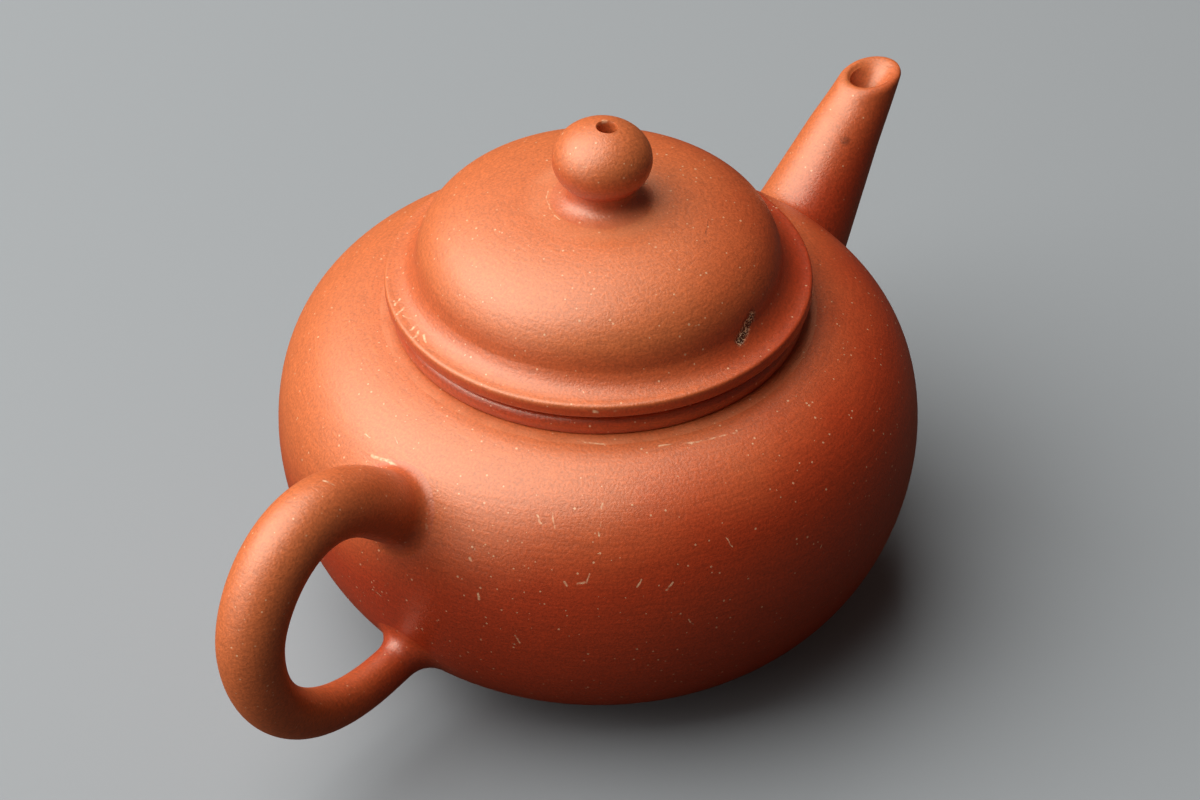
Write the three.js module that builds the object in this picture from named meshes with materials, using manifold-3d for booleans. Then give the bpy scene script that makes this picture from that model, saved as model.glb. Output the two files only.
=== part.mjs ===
// A small round teapot in unglazed red stoneware. Its beaten wall is closed by a base disc and a
// shoulder disc, its foot, neck, spout, strainer and handle are luted on, and its lid lifts off.
// Millimetres, +Z up. The origin is on the table under the middle of the foot, the spout points
// towards +X and the handle towards -X.

import * as THREE from 'three';
import { mergeVertices } from 'three/addons/utils/BufferGeometryUtils.js';
import Module from 'manifold-3d';

const wasm = await Module();
wasm.setup();

// Pot body
const BELLY_RADIUS = 40;
const BELLY_HEIGHT = 26.4; // of the widest line, above the table
const SHOULDER_HEIGHT = 43.7; // of the flat land that the neck stands on
const WALL_THICKNESS = 2.8;
const FOOT_RADIUS = 21.5;
const FOOT_HEIGHT = 1.6;
const FOOT_EDGE = 0.4; // bevel round the face that touches the table
const UNDERSIDE_LIFT = 2.7; // how far the underside has risen where it turns up into the belly

// Fullness of the outline: 0 leaves a straight line, 1 makes a square corner
const SHOULDER_FULLNESS = 0.88;
const BELLY_FULLNESS_ABOVE = 0.36;
const BELLY_FULLNESS_BELOW = 0.18;
const UNDERSIDE_FULLNESS = 0.9;

// Base disc and shoulder disc, each lapped into a ledge of the wall
const SHOULDER_DISC_LAND = 2.3; // from the neck out to the seam
const SHOULDER_DISC_THICKNESS = 1.6;
const BASE_DISC_LAND = 3; // from the foot out to the seam
const BASE_LAP_THICKNESS = 1.6;
const LEDGE_OVERHANG = 1; // how far a ledge stays back from the mouth or the foot
const LUTING_GAP = 0.3; // between a piece and the neighbour that it is shaped against

// Neck
const MOUTH_RADIUS = 22.3;
const NECK_THICKNESS = 2.4;
const NECK_HEIGHT = 3.25;
const NECK_BULGE = 0.75; // how far its rounded side pulls out past the crease at its foot
const NECK_ROUNDING = 1 / 6; // share of its height in which each edge turns in

// Lid
const LID_OVERHANG = 1.3; // of the rim past the neck's crease
const RIM_THICKNESS = 1.8;
const RIM_EDGE = 0.45; // bevel along the rim's upper and lower edge
const RIM_LEDGE = 3.1; // from the foot of the dome out to the edge of the rim
const DOME_RISE = 10.8; // from the rim's top to the land under the knob
const DOME_THICKNESS = 2.4;
const DOME_WALL_ANGLE = THREE.MathUtils.degToRad(80);
const DOME_WALL_PULL = 4; // length of the steep stretch before the dome turns over
const DOME_CROWN_FULLNESS = 1;
const DOME_FILLET = 2.1; // reach of the hollow where the dome meets the rim
const LOCATING_RING_DEPTH = 7.5;
const LOCATING_RING_THICKNESS = 2.2;
const LID_CLEARANCE = 0.3; // between the locating ring and the mouth

// Knob
const KNOB_RADIUS = 6;
const KNOB_HALF_HEIGHT = 4.65;
const KNOB_SEAT_RADIUS = 6.6;
const KNOB_WAIST_RADIUS = 3.8;
const KNOB_WAIST_HEIGHT = 2.2; // above the lid's crown
const KNOB_WAIST_SPREAD = 0.25; // share of that height in which the clay spreads onto the crown
const KNOB_OFFSET = 0.4; // the knob was luted on by hand a little off the middle
const VENT_OFFSET = 1; // and the vent was pierced a little further off
const OFFSET_DIRECTION = THREE.MathUtils.degToRad(-51);
const VENT_RADIUS = 1.2;

// Spout
const SPOUT_ANGLE = THREE.MathUtils.degToRad(48);
const SPOUT_REACH = 17; // from the belly out to the middle of the tip
const SPOUT_TIP_HEIGHT = 47.9;
const SPOUT_TIP_RADIUS = 3.75;
const SPOUT_ROOT_RADIUS = 7.3;
const SPOUT_FLARE = 1.8; // extra radius where the root spreads onto the wall
const SPOUT_FLARE_LENGTH = 5;
const SPOUT_LIP = 1.3; // wall left at the tip
const SPOUT_WALL_AT_ROOT = 2.2;
const SPOUT_CUT_ANGLE = THREE.MathUtils.degToRad(42); // of the tip from square to the spout
const SPOUT_CUT_START = 0.35; // share of the spout's length at which its sections start to tilt

// Strainer inside the root of the spout
const STRAINER_LAP = 2.3; // how far its ball stands out past the pouring hole
const STRAINER_THICKNESS = 1.2;
const STRAINER_HOLE_RADIUS = 0.8;
const STRAINER_HOLE_SPACING = 3.1; // between rows of holes
const STRAINER_ROWS = 2; // rings of holes round the middle one
const STRAINER_FIRST_ROW = 6; // holes in the first ring, and as many more in each further one

// Handle
const HANDLE_REACH = 22.6; // from the belly out to the middle of the grip
const HANDLE_GRIP_HEIGHT = 31; // where the grip is furthest out
const HANDLE_UPPER_ROOT_HEIGHT = 35.9;
const HANDLE_LOWER_ROOT_HEIGHT = 12.6;
const HANDLE_UPPER_ANGLE = THREE.MathUtils.degToRad(50); // climbing out of the wall
const HANDLE_LOWER_ANGLE = THREE.MathUtils.degToRad(-14);
const HANDLE_UPPER_PULL = 21.5; // the pulls set how far each curve runs before it turns
const HANDLE_GRIP_PULL_UP = 8.6;
const HANDLE_GRIP_PULL_DOWN = 11.8;
const HANDLE_LOWER_PULL = 16;
const HANDLE_UPPER_RADIUS = 4.2;
const HANDLE_LOWER_RADIUS = 2.5;
const HANDLE_TAPER_START = 0.25; // shares of the handle's length between which it thins
const HANDLE_TAPER_END = 0.95;
const HANDLE_UPPER_FLARE = 2; // extra radius where the root spreads onto the wall
const HANDLE_LOWER_FLARE = 1.7;
const HANDLE_FLARE_LENGTH = 4.5;

// Facets
const ROUND_SIDES = 40;
const CURVE_STEPS = 8;
const SPOUT_SIDES = 18;
const SPOUT_STEPS = 8;
const STRAINER_STEPS = 12;
const HANDLE_SIDES = 14;
const HANDLE_STEPS = 30;
const KNOB_SIDES = 24;
const HOLE_SIDES = 8;
const MERGE_DISTANCE = 1e-4;

// Colours
const CLAY = '#b4532f';
const RUBBED_CLAY = '#b85730';
const SHADED_CLAY = '#a94c2b';

// Sizes that follow
const NECK_RADIUS = MOUTH_RADIUS + NECK_THICKNESS;
const SEAT_HEIGHT = SHOULDER_HEIGHT + NECK_HEIGHT;
const SHOULDER_SEAM_RADIUS = NECK_RADIUS + SHOULDER_DISC_LAND;
const SHOULDER_LAP_HEIGHT = SHOULDER_HEIGHT - SHOULDER_DISC_THICKNESS;
const BASE_SEAM_RADIUS = FOOT_RADIUS + BASE_DISC_LAND;
const BASE_LAP_HEIGHT = FOOT_HEIGHT + BASE_LAP_THICKNESS;
const FLOOR_HEIGHT = FOOT_HEIGHT + WALL_THICKNESS;
const RIM_RADIUS = NECK_RADIUS + LID_OVERHANG;
const LOCATING_RING_RADIUS = MOUTH_RADIUS - LID_CLEARANCE;
const LOCATING_RING_BORE = LOCATING_RING_RADIUS - LOCATING_RING_THICKNESS;
const DOME_FOOT_RADIUS = RIM_RADIUS - RIM_LEDGE;
const CROWN_HEIGHT = RIM_THICKNESS + DOME_RISE;
const KNOB_WAIST_ANGLE = -Math.acos(KNOB_WAIST_RADIUS / KNOB_RADIUS);
const KNOB_CENTRE_HEIGHT = CROWN_HEIGHT + KNOB_WAIST_HEIGHT - KNOB_HALF_HEIGHT * Math.sin(KNOB_WAIST_ANGLE);

const point = (radius, height) => new THREE.Vector2(radius, height);

function solidOf(geometry) {
  const bare = geometry.clone();
  bare.deleteAttribute('normal');
  bare.deleteAttribute('uv');
  const merged = mergeVertices(bare, MERGE_DISTANCE);
  const corners = merged.index.array;
  const faces = [];
  for (let i = 0; i < corners.length; i += 3) {
    const [a, b, c] = corners.slice(i, i + 3);
    if (a !== b && b !== c && c !== a) faces.push(a, b, c);
  }
  return new wasm.Manifold(new wasm.Mesh({
    numProp: 3,
    vertProperties: new Float32Array(merged.attributes.position.array),
    triVerts: new Uint32Array(faces),
  }));
}

function piece(name, solid, colour) {
  const mesh = solid.getMesh();
  const geometry = new THREE.BufferGeometry();
  geometry.setAttribute('position', new THREE.BufferAttribute(new Float32Array(mesh.vertProperties), 3));
  geometry.setIndex(new THREE.BufferAttribute(new Uint32Array(mesh.triVerts), 1));
  geometry.computeVertexNormals();
  const clay = new THREE.MeshStandardMaterial({ color: colour, roughness: 0.55, metalness: 0 });
  const node = new THREE.Mesh(geometry, clay);
  node.name = name;
  return node;
}

// Turns a section about the Z axis. The section runs anticlockwise, with radius to the right.
function turned(section, sides = ROUND_SIDES) {
  const geometry = new THREE.LatheGeometry([...section, section[0]], sides);
  geometry.rotateX(Math.PI / 2);
  return solidOf(geometry);
}

function cylinder(radius, bottom, top, sides = ROUND_SIDES) {
  return turned([point(0, bottom), point(radius, bottom), point(radius, top), point(0, top)], sides);
}

function tube(bore, radius, bottom, top) {
  return turned([point(bore, bottom), point(radius, bottom), point(radius, top), point(bore, top)]);
}

// Skins rings of points that turn clockwise, seen from the last one. A looped skin joins its last
// ring to its first, and any other skin is capped.
function skinned(rings, looped) {
  const sides = rings[0].length;
  const corners = rings.flat();
  const faces = [];
  const spans = looped ? rings.length : rings.length - 1;
  for (let i = 0; i < spans; i += 1) {
    const next = (i + 1) % rings.length;
    for (let j = 0; j < sides; j += 1) {
      const a = i * sides + j;
      const b = i * sides + (j + 1) % sides;
      const c = next * sides + (j + 1) % sides;
      const d = next * sides + j;
      faces.push(a, c, b, a, d, c);
    }
  }
  if (!looped) {
    const last = (rings.length - 1) * sides;
    for (let j = 1; j < sides - 1; j += 1) {
      faces.push(0, j, j + 1, last, last + j + 1, last + j);
    }
  }
  const geometry = new THREE.BufferGeometry().setFromPoints(corners);
  geometry.setIndex(faces);
  return solidOf(geometry);
}

// A round piece moved off the middle of the lid, as the knob and the vent are
function offMiddle(solid, distance) {
  return solid.translate([
    distance * Math.cos(OFFSET_DIRECTION),
    distance * Math.sin(OFFSET_DIRECTION),
    0,
  ]);
}

const smooth = (from, to, at) => THREE.MathUtils.smoothstep(at, from, to);
const flare = (size, length, distance) => size * Math.max(0, 1 - Math.max(0, distance) / length) ** 2;

// The outline of the pot, from the foot up to the neck
const BELLY_BELOW = new THREE.CubicBezierCurve(
  point(FOOT_RADIUS, FOOT_HEIGHT),
  point(THREE.MathUtils.lerp(FOOT_RADIUS, BELLY_RADIUS, UNDERSIDE_FULLNESS), FOOT_HEIGHT + UNDERSIDE_LIFT),
  point(BELLY_RADIUS, THREE.MathUtils.lerp(BELLY_HEIGHT, FOOT_HEIGHT, BELLY_FULLNESS_BELOW)),
  point(BELLY_RADIUS, BELLY_HEIGHT),
);
const BELLY_ABOVE = new THREE.CubicBezierCurve(
  point(BELLY_RADIUS, BELLY_HEIGHT),
  point(BELLY_RADIUS, THREE.MathUtils.lerp(BELLY_HEIGHT, SHOULDER_HEIGHT, BELLY_FULLNESS_ABOVE)),
  point(THREE.MathUtils.lerp(NECK_RADIUS, BELLY_RADIUS, SHOULDER_FULLNESS), SHOULDER_HEIGHT),
  point(NECK_RADIUS, SHOULDER_HEIGHT),
);

// Points of a curve, moved out square to it. The curve runs up the outside of a section.
function offsetPoints(curve, distance, steps = CURVE_STEPS) {
  const points = [];
  for (let i = 0; i <= steps; i += 1) {
    const at = curve.getPoint(i / steps);
    const along = curve.getTangent(i / steps);
    points.push(point(at.x + along.y * distance, at.y - along.x * distance));
  }
  return points;
}

// The whole pot as one lump of clay, with its skin moved out by a distance
function lump(distance) {
  const below = offsetPoints(BELLY_BELOW, distance);
  const above = offsetPoints(BELLY_ABOVE, distance).slice(1);
  const bottom = point(0, below[0].y);
  const top = point(0, above[above.length - 1].y);
  return turned([bottom, ...below, ...above, top]);
}

// The last value, from low towards high, at which a test still holds
function lastWhere(test, low, high) {
  const middle = (low + high) / 2;
  if (middle === low || middle === high) return low;
  return test(middle) ? lastWhere(test, middle, high) : lastWhere(test, low, middle);
}

// The radius that a curve of the outline has at a height
function radiusAt(curve, height) {
  return curve.getPoint(lastWhere((at) => curve.getPoint(at).y < height, 0, 1)).x;
}

const wallRadiusAt = (height) => radiusAt(height < BELLY_HEIGHT ? BELLY_BELOW : BELLY_ABOVE, height);

// Spout axis: it passes through the middle of the tip and meets the wall lower down
const SPOUT_DIRECTION = new THREE.Vector3(Math.cos(SPOUT_ANGLE), 0, Math.sin(SPOUT_ANGLE));
const SPOUT_SIDE = new THREE.Vector3(-Math.sin(SPOUT_ANGLE), 0, Math.cos(SPOUT_ANGLE));
const ACROSS = new THREE.Vector3(0, 1, 0);
const SPOUT_TIP = new THREE.Vector3(BELLY_RADIUS + SPOUT_REACH, 0, SPOUT_TIP_HEIGHT);

function spoutPoint(distance) {
  return SPOUT_TIP.clone().addScaledVector(SPOUT_DIRECTION, distance);
}

// Distance back from the tip at which the spout's axis enters a lump of clay
function spoutEntry(depth) {
  const inside = (distance) => {
    const at = spoutPoint(distance);
    return at.x < wallRadiusAt(at.z) - depth;
  };
  return lastWhere(inside, -SPOUT_TIP.x / SPOUT_DIRECTION.x, 0);
}

const SPOUT_ENTRY = spoutEntry(0);
const SPOUT_BORE_AT_TIP = SPOUT_TIP_RADIUS - SPOUT_LIP;
const SPOUT_BORE_AT_ROOT = SPOUT_ROOT_RADIUS - SPOUT_WALL_AT_ROOT;
const STRAINER_RADIUS = SPOUT_BORE_AT_ROOT + STRAINER_LAP;

// A ring round the spout's axis. The skew tilts it, so that the ring at the tip lies in the cut.
function spoutRing(distance, radius, skew) {
  const ring = [];
  for (let j = 0; j < SPOUT_SIDES; j += 1) {
    const turn = (2 * Math.PI * j) / SPOUT_SIDES;
    const side = radius * Math.cos(turn);
    ring.push(spoutPoint(distance - side * skew)
      .addScaledVector(SPOUT_SIDE, side)
      .addScaledVector(ACROSS, radius * Math.sin(turn)));
  }
  return ring;
}

function spoutRadius(distance) {
  const share = distance / SPOUT_ENTRY;
  const straight = THREE.MathUtils.lerp(SPOUT_TIP_RADIUS, SPOUT_ROOT_RADIUS, share);
  return straight + flare(SPOUT_FLARE, SPOUT_FLARE_LENGTH, distance - SPOUT_ENTRY);
}

function spoutBore(distance) {
  return THREE.MathUtils.lerp(SPOUT_BORE_AT_TIP, SPOUT_BORE_AT_ROOT, distance / SPOUT_ENTRY);
}

function spoutSolid() {
  const start = SPOUT_ENTRY - SPOUT_ROOT_RADIUS;
  const lip = SPOUT_LIP / 2;
  const tipSkew = Math.tan(SPOUT_CUT_ANGLE);
  const outside = [];
  const inside = [];
  for (let i = 0; i <= SPOUT_STEPS; i += 1) {
    const share = i / SPOUT_STEPS;
    const distance = THREE.MathUtils.lerp(start, -lip, share);
    const skew = tipSkew * smooth(SPOUT_CUT_START, 1, share);
    outside.push(spoutRing(distance, spoutRadius(distance), skew));
    inside.unshift(spoutRing(distance, spoutBore(distance), skew));
  }
  const lipRing = spoutRing(0, SPOUT_TIP_RADIUS - lip, tipSkew);
  const skin = skinned([...outside, lipRing, ...inside], true);
  return skin.subtract(lump(LUTING_GAP));
}

// Turns a cylinder's Z axis to the spout's axis and moves its foot to a place on that axis
function alongSpout(geometry, distance) {
  geometry.rotateX(Math.PI / 2);
  geometry.rotateY(Math.PI / 2 - SPOUT_ANGLE);
  const at = spoutPoint(distance);
  geometry.translate(at.x, at.y, at.z);
  return geometry;
}

function pouringHole() {
  const length = 2 * (SPOUT_ROOT_RADIUS + WALL_THICKNESS);
  const drill = new THREE.CylinderGeometry(SPOUT_BORE_AT_ROOT, SPOUT_BORE_AT_ROOT, length, SPOUT_SIDES);
  return solidOf(alongSpout(drill, SPOUT_ENTRY));
}

// The strainer is a pierced ball cut off where it meets the inside of the wall
function strainerSolid() {
  const centre = spoutEntry(WALL_THICKNESS);
  const ball = (radius) => {
    const geometry = new THREE.SphereGeometry(radius, SPOUT_SIDES, STRAINER_STEPS);
    return solidOf(alongSpout(geometry, centre));
  };
  let strainer = ball(STRAINER_RADIUS).subtract(ball(STRAINER_RADIUS - STRAINER_THICKNESS));
  strainer = strainer.intersect(lump(-WALL_THICKNESS - LUTING_GAP));
  for (let row = 0; row <= STRAINER_ROWS; row += 1) {
    const count = row === 0 ? 1 : row * STRAINER_FIRST_ROW;
    for (let i = 0; i < count; i += 1) {
      const drill = new THREE.CylinderGeometry(
        STRAINER_HOLE_RADIUS,
        STRAINER_HOLE_RADIUS,
        2 * STRAINER_THICKNESS,
        HOLE_SIDES,
      );
      drill.translate(0, -STRAINER_RADIUS, 0);
      drill.rotateX((row * STRAINER_HOLE_SPACING) / STRAINER_RADIUS);
      drill.rotateY((2 * Math.PI * i) / count);
      strainer = strainer.subtract(solidOf(alongSpout(drill, centre)));
    }
  }
  return strainer;
}

// Handle: two curves that meet where the grip is furthest out, in the plane of the spout
function handlePath() {
  const place = (reach, height) => new THREE.Vector3(-reach, 0, height);
  const upper = place(wallRadiusAt(HANDLE_UPPER_ROOT_HEIGHT), HANDLE_UPPER_ROOT_HEIGHT);
  const lower = place(wallRadiusAt(HANDLE_LOWER_ROOT_HEIGHT), HANDLE_LOWER_ROOT_HEIGHT);
  const grip = place(BELLY_RADIUS + HANDLE_REACH, HANDLE_GRIP_HEIGHT);
  const pulled = (from, angle, length) => {
    const pull = place(length * Math.cos(angle), length * Math.sin(angle));
    return from.clone().add(pull);
  };
  const path = new THREE.CurvePath();
  path.add(new THREE.CubicBezierCurve3(
    upper,
    pulled(upper, HANDLE_UPPER_ANGLE, HANDLE_UPPER_PULL),
    pulled(grip, Math.PI / 2, HANDLE_GRIP_PULL_UP),
    grip,
  ));
  path.add(new THREE.CubicBezierCurve3(
    grip,
    pulled(grip, -Math.PI / 2, HANDLE_GRIP_PULL_DOWN),
    pulled(lower, HANDLE_LOWER_ANGLE, HANDLE_LOWER_PULL),
    lower,
  ));
  return path;
}

function handleRadius(share, length) {
  const thinning = smooth(HANDLE_TAPER_START, HANDLE_TAPER_END, share);
  return THREE.MathUtils.lerp(HANDLE_UPPER_RADIUS, HANDLE_LOWER_RADIUS, thinning)
    + flare(HANDLE_UPPER_FLARE, HANDLE_FLARE_LENGTH, share * length)
    + flare(HANDLE_LOWER_FLARE, HANDLE_FLARE_LENGTH, (1 - share) * length);
}

// A ring round the handle's path. The advance moves it along its own tangent.
function handleRing(path, share, advance) {
  const along = path.getTangentAt(share);
  const centre = path.getPointAt(share).addScaledVector(along, advance);
  const sideways = along.clone().cross(ACROSS);
  const radius = handleRadius(share, path.getLength());
  const ring = [];
  for (let j = 0; j < HANDLE_SIDES; j += 1) {
    const turn = (2 * Math.PI * j) / HANDLE_SIDES;
    ring.push(centre.clone()
      .addScaledVector(sideways, radius * Math.cos(turn))
      .addScaledVector(ACROSS, radius * Math.sin(turn)));
  }
  return ring;
}

// Both ends run on into the wall before the wall's own shape cuts them off
function handleSolid() {
  const path = handlePath();
  const buried = HANDLE_UPPER_RADIUS + HANDLE_UPPER_FLARE;
  const rings = [handleRing(path, 0, -buried)];
  for (let i = 0; i <= HANDLE_STEPS; i += 1) {
    rings.push(handleRing(path, i / HANDLE_STEPS, 0));
  }
  rings.push(handleRing(path, 1, buried));
  return skinned(rings, false).subtract(lump(LUTING_GAP));
}

function wallSolid() {
  const top = SEAT_HEIGHT;
  return lump(0)
    .subtract(lump(-WALL_THICKNESS))
    .subtract(cylinder(SHOULDER_SEAM_RADIUS, SHOULDER_LAP_HEIGHT, top))
    .subtract(cylinder(MOUTH_RADIUS + LEDGE_OVERHANG, BELLY_HEIGHT, top))
    .subtract(cylinder(BASE_SEAM_RADIUS, 0, BASE_LAP_HEIGHT))
    .subtract(cylinder(FOOT_RADIUS, 0, BELLY_HEIGHT))
    .subtract(pouringHole());
}

function shoulderDiscSolid() {
  const blank = tube(MOUTH_RADIUS, SHOULDER_SEAM_RADIUS - LUTING_GAP, SHOULDER_LAP_HEIGHT, SEAT_HEIGHT);
  return blank.intersect(lump(0));
}

function baseDiscSolid() {
  const lap = cylinder(BASE_SEAM_RADIUS - LUTING_GAP, 0, BASE_LAP_HEIGHT);
  const plug = cylinder(FOOT_RADIUS - LUTING_GAP, FOOT_HEIGHT, FLOOR_HEIGHT);
  return lap.intersect(lump(0)).add(plug);
}

function footDiscSolid() {
  return turned([
    point(0, 0),
    point(FOOT_RADIUS - FOOT_EDGE, 0),
    point(FOOT_RADIUS, FOOT_EDGE),
    point(FOOT_RADIUS, FOOT_HEIGHT),
    point(0, FOOT_HEIGHT),
  ]);
}

function neckRingSolid() {
  const land = NECK_RADIUS - NECK_BULGE;
  const side = new THREE.CubicBezierCurve(
    point(NECK_RADIUS, SHOULDER_HEIGHT),
    point(NECK_RADIUS + NECK_BULGE, SHOULDER_HEIGHT + NECK_HEIGHT * NECK_ROUNDING),
    point(NECK_RADIUS + NECK_BULGE, SEAT_HEIGHT - NECK_HEIGHT * NECK_ROUNDING),
    point(land, SEAT_HEIGHT),
  );
  return turned([
    point(MOUTH_RADIUS, SHOULDER_HEIGHT),
    ...side.getPoints(CURVE_STEPS),
    point(MOUTH_RADIUS, SEAT_HEIGHT),
  ]);
}

// Lid pieces, with heights above the seat on the neck
function rimPlateSolid() {
  return turned([
    point(LOCATING_RING_BORE, 0),
    point(RIM_RADIUS - RIM_EDGE, 0),
    point(RIM_RADIUS, RIM_EDGE),
    point(RIM_RADIUS, RIM_THICKNESS - RIM_EDGE),
    point(RIM_RADIUS - RIM_EDGE, RIM_THICKNESS),
    point(LOCATING_RING_BORE, RIM_THICKNESS),
  ]);
}

function domeSolid() {
  const steep = (length) => point(
    DOME_FOOT_RADIUS - length * Math.cos(DOME_WALL_ANGLE),
    RIM_THICKNESS + length * Math.sin(DOME_WALL_ANGLE),
  );
  const crown = new THREE.CubicBezierCurve(
    steep(DOME_FILLET),
    steep(DOME_WALL_PULL),
    point(THREE.MathUtils.lerp(KNOB_SEAT_RADIUS, DOME_FOOT_RADIUS, DOME_CROWN_FULLNESS), CROWN_HEIGHT),
    point(KNOB_SEAT_RADIUS, CROWN_HEIGHT),
  );
  const fillet = new THREE.QuadraticBezierCurve(
    point(DOME_FOOT_RADIUS + DOME_FILLET, RIM_THICKNESS),
    point(DOME_FOOT_RADIUS, RIM_THICKNESS),
    steep(DOME_FILLET),
  );
  const inside = offsetPoints(crown, -DOME_THICKNESS);
  return turned([
    point(inside[0].x, RIM_THICKNESS),
    ...fillet.getPoints(CURVE_STEPS / 2),
    ...crown.getPoints(CURVE_STEPS).slice(1),
    point(0, CROWN_HEIGHT),
    point(0, CROWN_HEIGHT - DOME_THICKNESS),
    ...inside.reverse(),
  ]).subtract(ventSolid());
}

// The vent runs down through the knob and the crown of the dome
function ventSolid() {
  const bottom = CROWN_HEIGHT - 2 * DOME_THICKNESS;
  const top = KNOB_CENTRE_HEIGHT + 2 * KNOB_HALF_HEIGHT;
  return offMiddle(cylinder(VENT_RADIUS, bottom, top, KNOB_SIDES), VENT_OFFSET);
}

function locatingRingSolid() {
  return tube(LOCATING_RING_BORE, LOCATING_RING_RADIUS, -LOCATING_RING_DEPTH, 0);
}

// The knob is a flattened ball on a short waist that spreads onto the crown
function knobSolid() {
  const ball = new THREE.EllipseCurve(
    0,
    KNOB_CENTRE_HEIGHT,
    KNOB_RADIUS,
    KNOB_HALF_HEIGHT,
    KNOB_WAIST_ANGLE,
    Math.PI / 2,
  );
  const spread = new THREE.QuadraticBezierCurve(
    point(KNOB_SEAT_RADIUS, CROWN_HEIGHT),
    point(KNOB_WAIST_RADIUS, CROWN_HEIGHT + KNOB_WAIST_HEIGHT * KNOB_WAIST_SPREAD),
    point(KNOB_WAIST_RADIUS, CROWN_HEIGHT + KNOB_WAIST_HEIGHT),
  );
  const knob = turned([
    point(0, CROWN_HEIGHT),
    ...spread.getPoints(CURVE_STEPS / 2),
    ...ball.getPoints(CURVE_STEPS * 2).slice(1),
  ], KNOB_SIDES);
  return offMiddle(knob, KNOB_OFFSET).subtract(ventSolid());
}

const pot = new THREE.Group();
pot.add(
  piece('body_wall', wallSolid(), CLAY),
  piece('shoulder_disc', shoulderDiscSolid(), CLAY),
  piece('base_disc', baseDiscSolid(), SHADED_CLAY),
  piece('foot_disc', footDiscSolid(), SHADED_CLAY),
  piece('neck_ring', neckRingSolid(), CLAY),
  piece('spout', spoutSolid(), RUBBED_CLAY),
  piece('strainer_dome', strainerSolid(), SHADED_CLAY),
  piece('handle', handleSolid(), CLAY),
);

const lid = new THREE.Group();
lid.position.z = SEAT_HEIGHT;
lid.add(
  piece('lid_dome', domeSolid(), RUBBED_CLAY),
  piece('lid_rim_plate', rimPlateSolid(), RUBBED_CLAY),
  piece('lid_locating_ring', locatingRingSolid(), SHADED_CLAY),
  piece('lid_knob', knobSolid(), RUBBED_CLAY),
);

const teapot = new THREE.Group();
teapot.add(pot, lid);

export default teapot;
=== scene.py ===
"""A small round teapot in unglazed red stoneware, with a loop handle and a knobbed lid that lifts off."""

import math

import bmesh
import bpy
from bpy.props import FloatProperty, FloatVectorProperty, PointerProperty
from bpy.types import Operator, Panel, PropertyGroup
from mathutils import Matrix, Vector
from mathutils.bvhtree import BVHTree
from mathutils.geometry import interpolate_bezier


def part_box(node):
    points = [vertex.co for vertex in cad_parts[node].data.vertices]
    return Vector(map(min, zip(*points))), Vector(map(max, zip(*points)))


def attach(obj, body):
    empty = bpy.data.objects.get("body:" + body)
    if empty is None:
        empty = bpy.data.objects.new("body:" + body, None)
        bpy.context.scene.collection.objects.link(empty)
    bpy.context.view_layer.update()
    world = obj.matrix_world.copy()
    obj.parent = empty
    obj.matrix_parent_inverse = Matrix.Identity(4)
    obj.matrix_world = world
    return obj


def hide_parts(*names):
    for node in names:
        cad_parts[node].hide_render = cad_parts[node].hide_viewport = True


bl_info = {
    "name": "Red stoneware teapot",
    "version": (1, 0, 0),
    "blender": (4, 5, 0),
    "location": "View3D > Sidebar > Teapot",
    "description": "Makes a round teapot of unglazed red clay around its construction model",
    "category": "Add Mesh",
}

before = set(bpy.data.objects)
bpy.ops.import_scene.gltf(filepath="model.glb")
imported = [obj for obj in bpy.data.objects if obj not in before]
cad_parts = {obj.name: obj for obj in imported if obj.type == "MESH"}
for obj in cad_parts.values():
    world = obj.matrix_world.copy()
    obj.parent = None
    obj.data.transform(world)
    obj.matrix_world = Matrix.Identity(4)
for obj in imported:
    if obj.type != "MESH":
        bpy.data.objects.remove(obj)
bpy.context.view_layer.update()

MM = 0.001
POT = "pot"
LID = "lid"

# Smoothness of the pieces
TURN_STEPS = 160
CURVE_STEPS = 40
CORNER_STEPS = 4
TUBE_SIDES = 64
TUBE_STEPS = 26
HANDLE_STEPS = 64
FILLET_STEPS = 10
MERGE = 1e-7
SHARP = math.radians(35)

# Corners that turn more than this are softened
CORNER_TURN = math.radians(20)

# How far a feathered edge is pressed into what carries it, and hidden ends are sunk into the clay
PRESSED = 0.02 * MM
SPOUT_SUNK = 0.25 * MM
HANDLE_SUNK = 0.3 * MM
KNOB_SUNK = 0.3 * MM

# How far a tube's side may run on to the wall, per length of its axis or of the line to its middle,
# and halvings of its bend inwards
LONGEST_SIDE = 1.4
LONGEST_LINE = 1.05
BEND_STEPS = 14

# Where the straight part of the spout ends, in radii of its root, and where its bore starts to tilt
SPOUT_CLEAR = 1.55
BORE_TILT_START = 0.55

# Length of the pouring hole's drill, in thicknesses of the wall
DRILL_WALLS = 8

# Painted shade, which turns the clay a deeper red along a slope across each piece, away from the lamps and
# low down:
# its slope along X, Y and Z, and its start in millimetres, which drifts a few millimetres either way
SHADE_SLOPE_BODY = (0.25, -0.43, -1.9, 44)
SHADE_SLOPE_SPOUT = (0, -3.5, -0.85, 0)
SHADE_SLOPE_HANDLE = (0.65, 0, -0.3, 8)
SHADE_SLOPE_NECK = (0, 0, -0.45, 0)
SHADE_SLOPE_LID = (0.6, -0.5, -0.7, 0)
SHADE_FULL_AT = -12 * MM
SHADE_GONE_AT = -42 * MM
DRIFT_REACH = 3
DRIFT_SIZE = 14 * MM

# Sizes of what the clay shows: the shake of a line drawn by hand, a chip's flakes, and the relief
SHAKE_SIZE = 1.2 * MM
SHAKE_REACH = 0.5 * MM
FLAKE_SIZE = 0.5 * MM
RELIEF_DEPTH = 0.06 * MM
RELIEF_STRENGTH = 0.7

# Patches of wear to each grain of the clay, and how many times coarser dust wears off
WEAR_PER_GRAIN = 0.6
DUST_GRAINS = 6

# The parts of a noise's range that drift and grain, wear and flakes use
NOISE_RANGE = (0.3, 0.7)
WEAR_RANGE = (0.35, 0.6)
FLAKE_RANGE = (0.5, 0.58)

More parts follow.
